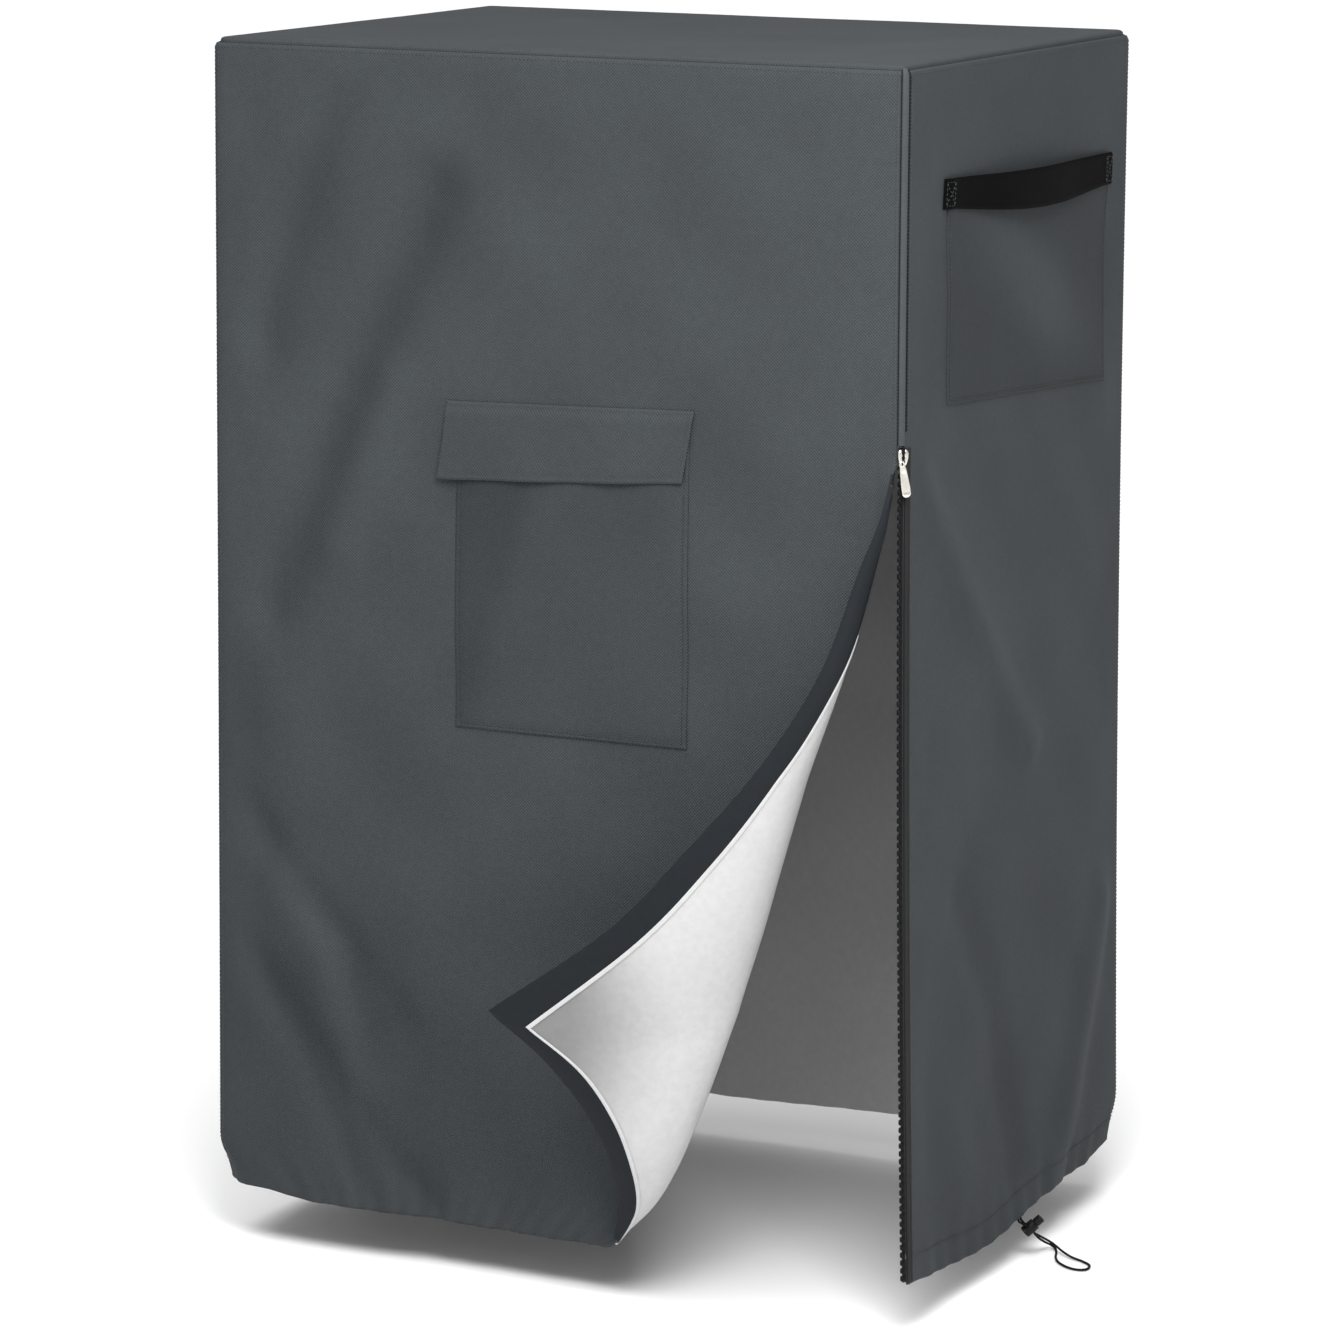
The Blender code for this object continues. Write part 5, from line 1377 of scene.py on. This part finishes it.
def put_stitches(context, name, runs, thread="thread", size=STITCH):
    """One mesh of sewn stitches: each is a stretched ball on the skin, narrow at both ends."""
    length, radius = size
    centre, ahead, normal = (np.concatenate(parts) for parts in zip(*runs))
    beside = np.cross(normal, ahead)
    angle = np.linspace(0, 2 * np.pi, STITCH_SIDES, endpoint=False)
    rings = STITCH_SIZE[:, None]
    a = (STITCH_ALONG[:, None] * np.ones(STITCH_SIDES)) * length / 2
    b = rings * np.cos(angle) * radius
    c = rings * np.sin(angle) * radius + (rings - 1.0) * radius
    points = centre[:, None, None] + a[None, ..., None] * ahead[:, None, None]
    points = points + b[None, ..., None] * beside[:, None, None] + c[None, ..., None] * normal[:, None, None]
    last = (len(STITCH_ALONG) - 1) * STITCH_SIDES
    caps = np.array([(0, 1, 2, 3), (0, 3, 4, 5), (last + 3, last + 2, last + 1, last),
                     (last + 5, last + 4, last + 3, last)])
    each = np.concatenate([grid_faces(len(STITCH_ALONG), STITCH_SIDES, 0, True), caps])
    first = a.size * np.arange(len(centre))[:, None, None]
    uv = np.broadcast_to(np.stack([a, b], -1), (len(centre), *a.shape, 2))
    piece = put_mesh(name, points, (each[None] + first).reshape(-1, 4), uv, [finish_of(context, thread)])
    face_out(piece)


def make_stitches(context):
    """Topstitching beside each seam, the hem's, the pockets' and the strap's rows, and the zip's."""
    pitch = context.scene.cover_sizes.stitch
    lift = STITCH_LIFT
    skins = {"front": front_cloth, "right": right_cloth, "back": back_cloth, "left": left_cloth}
    seams = []
    hems = []
    lines = []
    top = TOP_SEAM + TOPSTITCH
    low = HEIGHT - HEM
    drop = TOP_SEAM + SEAM_THREAD_INSET
    for side, surface in skins.items():
        left = seam_along(side, -1)
        right = seam_along(side, 1)
        lines.append(stitch_run(surface, (left, drop), (right, drop), SEAM_THREAD_PITCH, SEAM_THREAD_LIFT))
        seams.append(stitch_run(surface, (left, top), (right, top), pitch, lift))
        if side != "right":
            u = left + SEAM_THREAD_INSET
            lines.append(stitch_run(surface, (u, TOP_SEAM), (u, HEIGHT), SEAM_THREAD_PITCH, SEAM_THREAD_LIFT))
            u = left + TOPSTITCH
            seams.append(stitch_run(surface, (u, top), (u, HEIGHT), pitch, lift))
        if side != "front":
            u = right - TOPSTITCH
            seams.append(stitch_run(surface, (u, top), (u, HEIGHT), pitch, lift))
        end = FOOT - HEM_STITCHES_STOP if side == "front" else right
        hems.append(stitch_run(surface, (left, low), (end, low), pitch, 0.0))
    stop = SLIDER_DROP - SLIDER_HALF
    edge = seam_along("right", -1)
    u = FRONT_END - WELT_THREAD_INSETS[0]
    lines.append(stitch_run(front_cloth, (u, TOP_SEAM), (u, stop), SEAM_THREAD_PITCH, WELT_THREAD_LIFTS[0]))
    # Beside the welt on the right wall, a wide dark thread is painted shadow of the welt
    u = edge + WELT_THREAD_INSETS[1]
    beside = [stitch_run(right_cloth, (u, TOP_SEAM), (u, stop), SEAM_THREAD_PITCH, WELT_THREAD_LIFTS[1])]
    zips = []
    for surface, u, start, end, raised in (
            (right_cloth, edge + ZIP_INSETS[0], TOP_SEAM + ZIP_STITCHES, SLIDER_DROP, lift),
            (right_cloth, edge + TAPE_OUTSIDE - ZIP_INSETS[1], TAPE_TOP, HEIGHT - 2 * ZIP_STITCHES,
             lift + TAPE_PROUD),
            (front_cloth, FRONT_END - ZIP_INSETS[2], TOP_SEAM + ZIP_STITCHES, SLIDER_DROP, lift)):
        zips.append(stitch_run(surface, (u, start), (u, end), pitch, raised))
    put_stitches(context, "welt_edge_line", beside, "dark_thread", WELT_SHADOW_THREAD)
    put_stitches(context, "seam_lines", lines, "dark_thread", SEAM_THREAD)
    put_stitches(context, "seam_stitches", seams)
    put_stitches(context, "hem_stitches", hems)
    put_stitches(context, "pocket_stitches", pocket_runs(pitch))
    put_stitches(context, "strap_stitches", strap_runs(pitch), "thread")
    put_stitches(context, "zip_stitches", zips)


def lifted(surface, height):
    """A skin raised by a height that depends on the place."""
    def raised(u, v):
        return surface(u, v) + height(u, v)[..., None] * normals(surface, u, v)
    return raised


def pocket_runs(pitch):
    """Rows of stitches round both patch pockets."""
    on_front = lifted(front_cloth, lambda u, v: 0 * u + GAP + POCKET_CLOTH + pocket_full(u, v))
    on_side = lifted(right_cloth, lambda u, v: 0 * u + GAP + POCKET_CLOTH + side_full(u, v))
    runs = []
    for surface, left, right, top, low in (
            (on_front, POCKET_LEFT, POCKET_RIGHT, POCKET_TOP + POCKET_SEWN, POCKET_BOTTOM),
            (on_side, SIDE_POCKET_FRONT, SIDE_POCKET_BACK, SIDE_POCKET_TOP + SIDE_POCKET_SEWN,
             SIDE_POCKET_BOTTOM)):
        left, right, low = left + PATCH_INSET, right - PATCH_INSET, low - PATCH_INSET
        corners = [(left, top), (left, low), (right, low), (right, top)]
        for start, end in zip(corners, corners[1:]):
            runs.append(stitch_run(surface, start, end, pitch, PATCH_LIFT))
    return runs


def pocket_full(u, v):
    """How far the front pocket stands off its wall: a half sine across by a root of one down, and a ridge."""
    s = (u - POCKET_LEFT) / (POCKET_RIGHT - POCKET_LEFT)
    t = (v - POCKET_TOP) / (POCKET_BOTTOM - POCKET_TOP)
    across = np.sin(np.pi * s).clip(0)
    down = np.sin(np.pi * t).clip(0)
    ridge = POCKET_RIDGE * np.exp(-off_ridge(u, v) ** 2) * down ** 2 * across
    return POCKET_FULL * across * np.sqrt(down) + ridge


def off_ridge(u, v):
    """Distance to the right of the front pocket's slanting ridge, in widths of the ridge."""
    s = (u - POCKET_LEFT) / (POCKET_RIGHT - POCKET_LEFT)
    t = (v - POCKET_TOP) / (POCKET_BOTTOM - POCKET_TOP)
    return (s - POCKET_RIDGE_LINE[0] + POCKET_RIDGE_LINE[1] * t) / POCKET_RIDGE_WIDTH


def side_full(u, v):
    """How far the side pocket stands off: one slanting Gaussian fold that fades out at its edges."""
    s = (u - SIDE_POCKET_FRONT) / (SIDE_POCKET_BACK - SIDE_POCKET_FRONT)
    t = (v - SIDE_POCKET_TOP) / (SIDE_POCKET_BOTTOM - SIDE_POCKET_TOP)
    fold = np.exp(-((s - SIDE_FOLD_START - SIDE_FOLD_SLANT * t) / SIDE_FOLD_WIDTH) ** 2)
    return SIDE_FOLD * fold * np.sqrt(np.sin(np.pi * s).clip(0)) * np.sin(np.pi * t).clip(0)


def strap_runs(pitch):
    """A sewn box and cross at each end of the strap."""
    length = STRAP_BACK - STRAP_FRONT
    width = STRAP_BOTTOM - STRAP_TOP
    inset, end = STRAP_BOX
    runs = []
    for first, last in ((inset, end), (length - end, length - inset)):
        a, b, c, d = (first, inset), (last, inset), (last, width - inset), (first, width - inset)
        for start, stop in ((a, b), (b, c), (c, d), (d, a), (a, c), (b, d)):
            runs.append(stitch_run(strap_skin, start, stop, pitch, STRAP_LIFT))
    return runs


def make_stage(context):
    """The camera, a plain white floor, soft light from all round and a wide sun."""
    scene = context.scene
    look = scene.cover_view
    azimuth, elevation, roll = look.azimuth, look.elevation, look.roll
    back = np.array([math.sin(azimuth) * math.cos(elevation), -math.cos(azimuth) * math.cos(elevation),
                     math.sin(elevation)])
    across = np.array([math.cos(azimuth), math.sin(azimuth), 0.0])
    above = np.cross(back, across)
    right = math.cos(roll) * across + math.sin(roll) * above
    up = math.cos(roll) * above - math.sin(roll) * across
    data = bpy.data.cameras.new("cover_camera")
    data.sensor_width = SENSOR
    data.sensor_fit = "HORIZONTAL"
    data.lens = look.lens
    data.clip_end = CAMERA_FAR
    data.dof.use_dof = False
    camera = bpy.data.objects.new("cover_camera", data)
    place = np.eye(4)
    place[:3, 0] = right
    place[:3, 1] = up
    place[:3, 2] = back
    place[:3, 3] = np.array(look.target) + look.distance * back
    camera.matrix_world = Matrix(place.tolist())
    scene.collection.objects.link(camera)
    scene.camera = camera
    scene.view_settings.view_transform = "Standard"
    mesh = bpy.data.meshes.new("floor")
    corners = ((-1, -1), (1, -1), (1, 1), (-1, 1))
    mesh.from_pydata([(x * FLOOR_HALF, y * FLOOR_HALF, FLOOR) for x, y in corners], [], [(0, 1, 2, 3)])
    material, tree, principled = shader("floor_white", Roughness=FLOOR_ROUGHNESS)
    principled.inputs["Base Color"].default_value = FLOOR_COLOUR
    mesh.materials.append(material)
    floor = bpy.data.objects.new("floor", mesh)
    scene.collection.objects.link(floor)
    world = bpy.data.worlds.new("studio")
    world.use_nodes = True
    tree = world.node_tree
    direction = node(tree, "ShaderNodeTexCoord").outputs["Generated"]
    split = node(tree, "ShaderNodeSeparateXYZ", {0: direction})
    strength = ranged(tree, split.outputs[0], -1.0, 1.0, look.sky_left, look.sky_right)
    tree.links.new(strength, tree.nodes["Background"].inputs["Strength"])
    tree.nodes["Background"].inputs["Color"].default_value = (1.0, 1.0, 1.0, 1.0)
    scene.world = world
    light = bpy.data.lights.new("wide_sun", "SUN")
    light.energy = look.sun
    light.angle = SUN_WIDTH
    sun = bpy.data.objects.new("wide_sun", light)
    sun.rotation_euler = Vector(SUN_FROM).to_track_quat("Z", "Y").to_euler()
    scene.collection.objects.link(sun)
    light = bpy.data.lights.new("softbox", "AREA")
    light.energy = look.softbox
    light.size = SOFTBOX_SIZE
    box = bpy.data.objects.new("softbox", light)
    box.location = SOFTBOX_PLACE
    box.rotation_euler = Vector(SOFTBOX_FROM).to_track_quat("Z", "Y").to_euler()
    scene.collection.objects.link(box)


class CoverSizes(bpy.types.PropertyGroup):
    """Sizes of the cloth's weave and of its stitches."""

    weave: bpy.props.FloatProperty(name="Weave", description="Width of two threads of the outer cloth",
                                   default=0.0026, min=0.0008, unit="LENGTH")
    stitch: bpy.props.FloatProperty(name="Stitch", description="Length from one stitch to the next",
                                    default=0.0034, min=0.001, unit="LENGTH")


def colour_of(name, description, default):
    """A colour property in linear red, green and blue."""
    return bpy.props.FloatVectorProperty(name=name, description=description, subtype="COLOR", size=3, min=0.0,
                                         max=1.0, default=default)


class CoverColours(bpy.types.PropertyGroup):
    """Colours of each material."""

    outer_cloth: colour_of("Outer cloth", "Walls, top and flap", (0.036, 0.041, 0.0445))
    pocket_cloth: colour_of("Pocket cloth", "Both patch pockets", (0.032, 0.0365, 0.040))
    welt_cloth: colour_of("Closed zip band", "The band over the closed zip", (0.043, 0.048, 0.052))
    lining: colour_of("Lining", "Coated inner face", (0.44, 0.44, 0.44))
    piping: colour_of("Piping", "Pale edge between the lining and its facings", (0.44, 0.44, 0.44))
    # Also the painted shadow beside the welt
    dark_thread: colour_of("Seam line", "Dark thread down in each seam", (0.007, 0.008, 0.008))
    facing_cloth: colour_of("Facing", "Dark bands inside the freed edges", (0.010, 0.012, 0.0145))
    tape_cloth: colour_of("Zip tape", "The open half's tape", (0.0175, 0.0165, 0.0165))
    webbing: colour_of("Webbing", "Carry strap", (0.0026, 0.0027, 0.0027))
    thread: colour_of("Thread", "Sewing thread", (0.022, 0.025, 0.027))
    cord: colour_of("Drawcord", "Braided cord", (0.004, 0.004, 0.004))
    coil: colour_of("Zip teeth", "Teeth of the open half", (0.0015, 0.0015, 0.0016))
    plastic: colour_of("Cord lock", "Moulded lock and button", (0.004, 0.004, 0.0045))
    nickel: colour_of("Slider", "Plated slider and pull", (0.80, 0.77, 0.71))


class CoverView(bpy.types.PropertyGroup):
    """Camera and light."""

    azimuth: bpy.props.FloatProperty(name="Azimuth", description="Turn of the camera round the cover",
                                     default=math.radians(24.968), subtype="ANGLE")
    elevation: bpy.props.FloatProperty(name="Elevation", description="Height of the camera as an angle",
                                       default=math.radians(10.472), subtype="ANGLE")
    roll: bpy.props.FloatProperty(name="Roll", description="Tilt of the picture", default=math.radians(0.5),
                                  subtype="ANGLE")
    distance: bpy.props.FloatProperty(name="Distance", description="From the camera to its target",
                                      default=4.558, unit="LENGTH")
    target: bpy.props.FloatVectorProperty(name="Target", description="Point in the picture's middle", size=3,
                                          default=(-0.0103, 0.0, -0.5268), subtype="TRANSLATION")
    lens: bpy.props.FloatProperty(name="Lens", description="Focal length in millimetres", default=146.09)
    sky_left: bpy.props.FloatProperty(name="Left light", description="Strength of the sky on the left",
                                      default=0.62)
    sky_right: bpy.props.FloatProperty(name="Right light", description="Strength of the sky on the right",
                                       default=0.56)
    sun: bpy.props.FloatProperty(name="Sun", description="Strength of the wide sun", default=2.0)
    softbox: bpy.props.FloatProperty(name="Softbox", description="Power of the softbox, in watts",
                                     default=48.0)


class MakeStage(bpy.types.Operator):
    """Add the camera, the floor and the light"""

    bl_idname = "cover.stage"
    bl_label = "Stage"
    bl_options = {"REGISTER", "UNDO"}

    def execute(self, context):
        make_stage(context)
        return {"FINISHED"}


class MakeCord(bpy.types.Operator):
    """Lay the drawcord's free loop, with its lock"""

    bl_idname = "cover.drawcord"
    bl_label = "Drawcord and lock"
    bl_options = {"REGISTER", "UNDO"}

    def execute(self, context):
        make_cord(context)
        return {"FINISHED"}


class MakeTop(bpy.types.Operator):
    """Make the top's cloth"""

    bl_idname = "cover.top"
    bl_label = "Top"
    bl_options = {"REGISTER", "UNDO"}

    def execute(self, context):
        make_top(context)
        return {"FINISHED"}


class MakeFront(bpy.types.Operator):
    """Make the front wall's cloth with its folded-out corner"""

    bl_idname = "cover.front"
    bl_label = "Front and folded corner"
    bl_options = {"REGISTER", "UNDO"}

    def execute(self, context):
        make_front(context)
        return {"FINISHED"}


class MakeWalls(bpy.types.Operator):
    """Make the other three walls' cloth"""

    bl_idname = "cover.walls"
    bl_label = "Right, back and left walls"
    bl_options = {"REGISTER", "UNDO"}

    def execute(self, context):
        make_walls(context)
        return {"FINISHED"}


class MakeFacings(bpy.types.Operator):
    """Sew the dark facings inside the freed edges"""

    bl_idname = "cover.facings"
    bl_label = "Facings"
    bl_options = {"REGISTER", "UNDO"}

    def execute(self, context):
        make_facings(context)
        return {"FINISHED"}


class MakeTapes(bpy.types.Operator):
    """Sew on the closed zip's band and the open half's tape"""

    bl_idname = "cover.zip_tapes"
    bl_label = "Zip band and tape"
    bl_options = {"REGISTER", "UNDO"}

    def execute(self, context):
        make_tapes(context)
        return {"FINISHED"}


class MakeTeeth(bpy.types.Operator):
    """Set the open half's teeth"""

    bl_idname = "cover.zip_teeth"
    bl_label = "Zip teeth"
    bl_options = {"REGISTER", "UNDO"}

    def execute(self, context):
        make_teeth(context)
        return {"FINISHED"}


class MakeSlider(bpy.types.Operator):
    """Hang the slider with its pull on the corner"""

    bl_idname = "cover.zip_slider"
    bl_label = "Zip slider and pull"
    bl_options = {"REGISTER", "UNDO"}

    def execute(self, context):
        make_slider(context)
        return {"FINISHED"}


class MakePockets(bpy.types.Operator):
    """Sew on both patch pockets and the flap"""

    bl_idname = "cover.pockets"
    bl_label = "Pockets and flap"
    bl_options = {"REGISTER", "UNDO"}

    def execute(self, context):
        make_pockets(context)
        return {"FINISHED"}


class MakeStrap(bpy.types.Operator):
    """Sew on the webbing carry strap"""

    bl_idname = "cover.strap"
    bl_label = "Carry strap"
    bl_options = {"REGISTER", "UNDO"}

    def execute(self, context):
        make_strap(context)
        return {"FINISHED"}


class MakeStitches(bpy.types.Operator):
    """Sew every visible row of stitches"""

    bl_idname = "cover.stitches"
    bl_label = "Stitching"
    bl_options = {"REGISTER", "UNDO"}

    def execute(self, context):
        make_stitches(context)
        return {"FINISHED"}


OPERATORS = (
    MakeStage, MakeCord, MakeTop, MakeFront, MakeWalls, MakeFacings,
    MakeTapes, MakeTeeth, MakeSlider, MakePockets, MakeStrap, MakeStitches,
)


class CoverPanel(bpy.types.Panel):
    """The cover's sizes, colours, view and pieces"""

    bl_idname = "VIEW3D_PT_cover"
    bl_label = "Evaporative cooler cover"
    bl_space_type = "VIEW_3D"
    bl_region_type = "UI"
    bl_category = "Cover"

    def draw(self, context):
        layout = self.layout
        for group in (context.scene.cover_sizes, context.scene.cover_colours, context.scene.cover_view):
            column = layout.column(align=True)
            for key in group.__annotations__:
                column.prop(group, key)
        for operator in OPERATORS:
            layout.operator(operator.bl_idname)


CLASSES = (CoverSizes, CoverColours, CoverView, *OPERATORS, CoverPanel)


def register():
    """Add the classes and the scene's property groups."""
    for cls in CLASSES:
        bpy.utils.register_class(cls)
    bpy.types.Scene.cover_sizes = bpy.props.PointerProperty(type=CoverSizes)
    bpy.types.Scene.cover_colours = bpy.props.PointerProperty(type=CoverColours)
    bpy.types.Scene.cover_view = bpy.props.PointerProperty(type=CoverView)


def unregister():
    """Remove them again."""
    del bpy.types.Scene.cover_view
    del bpy.types.Scene.cover_colours
    del bpy.types.Scene.cover_sizes
    for cls in reversed(CLASSES):
        bpy.utils.unregister_class(cls)


def main():
    """Register the classes and make every piece."""
    register()
    for operator in OPERATORS:
        group, name = operator.bl_idname.split(".")
        getattr(getattr(bpy.ops, group), name)()


if __name__ == "__main__":
    main()
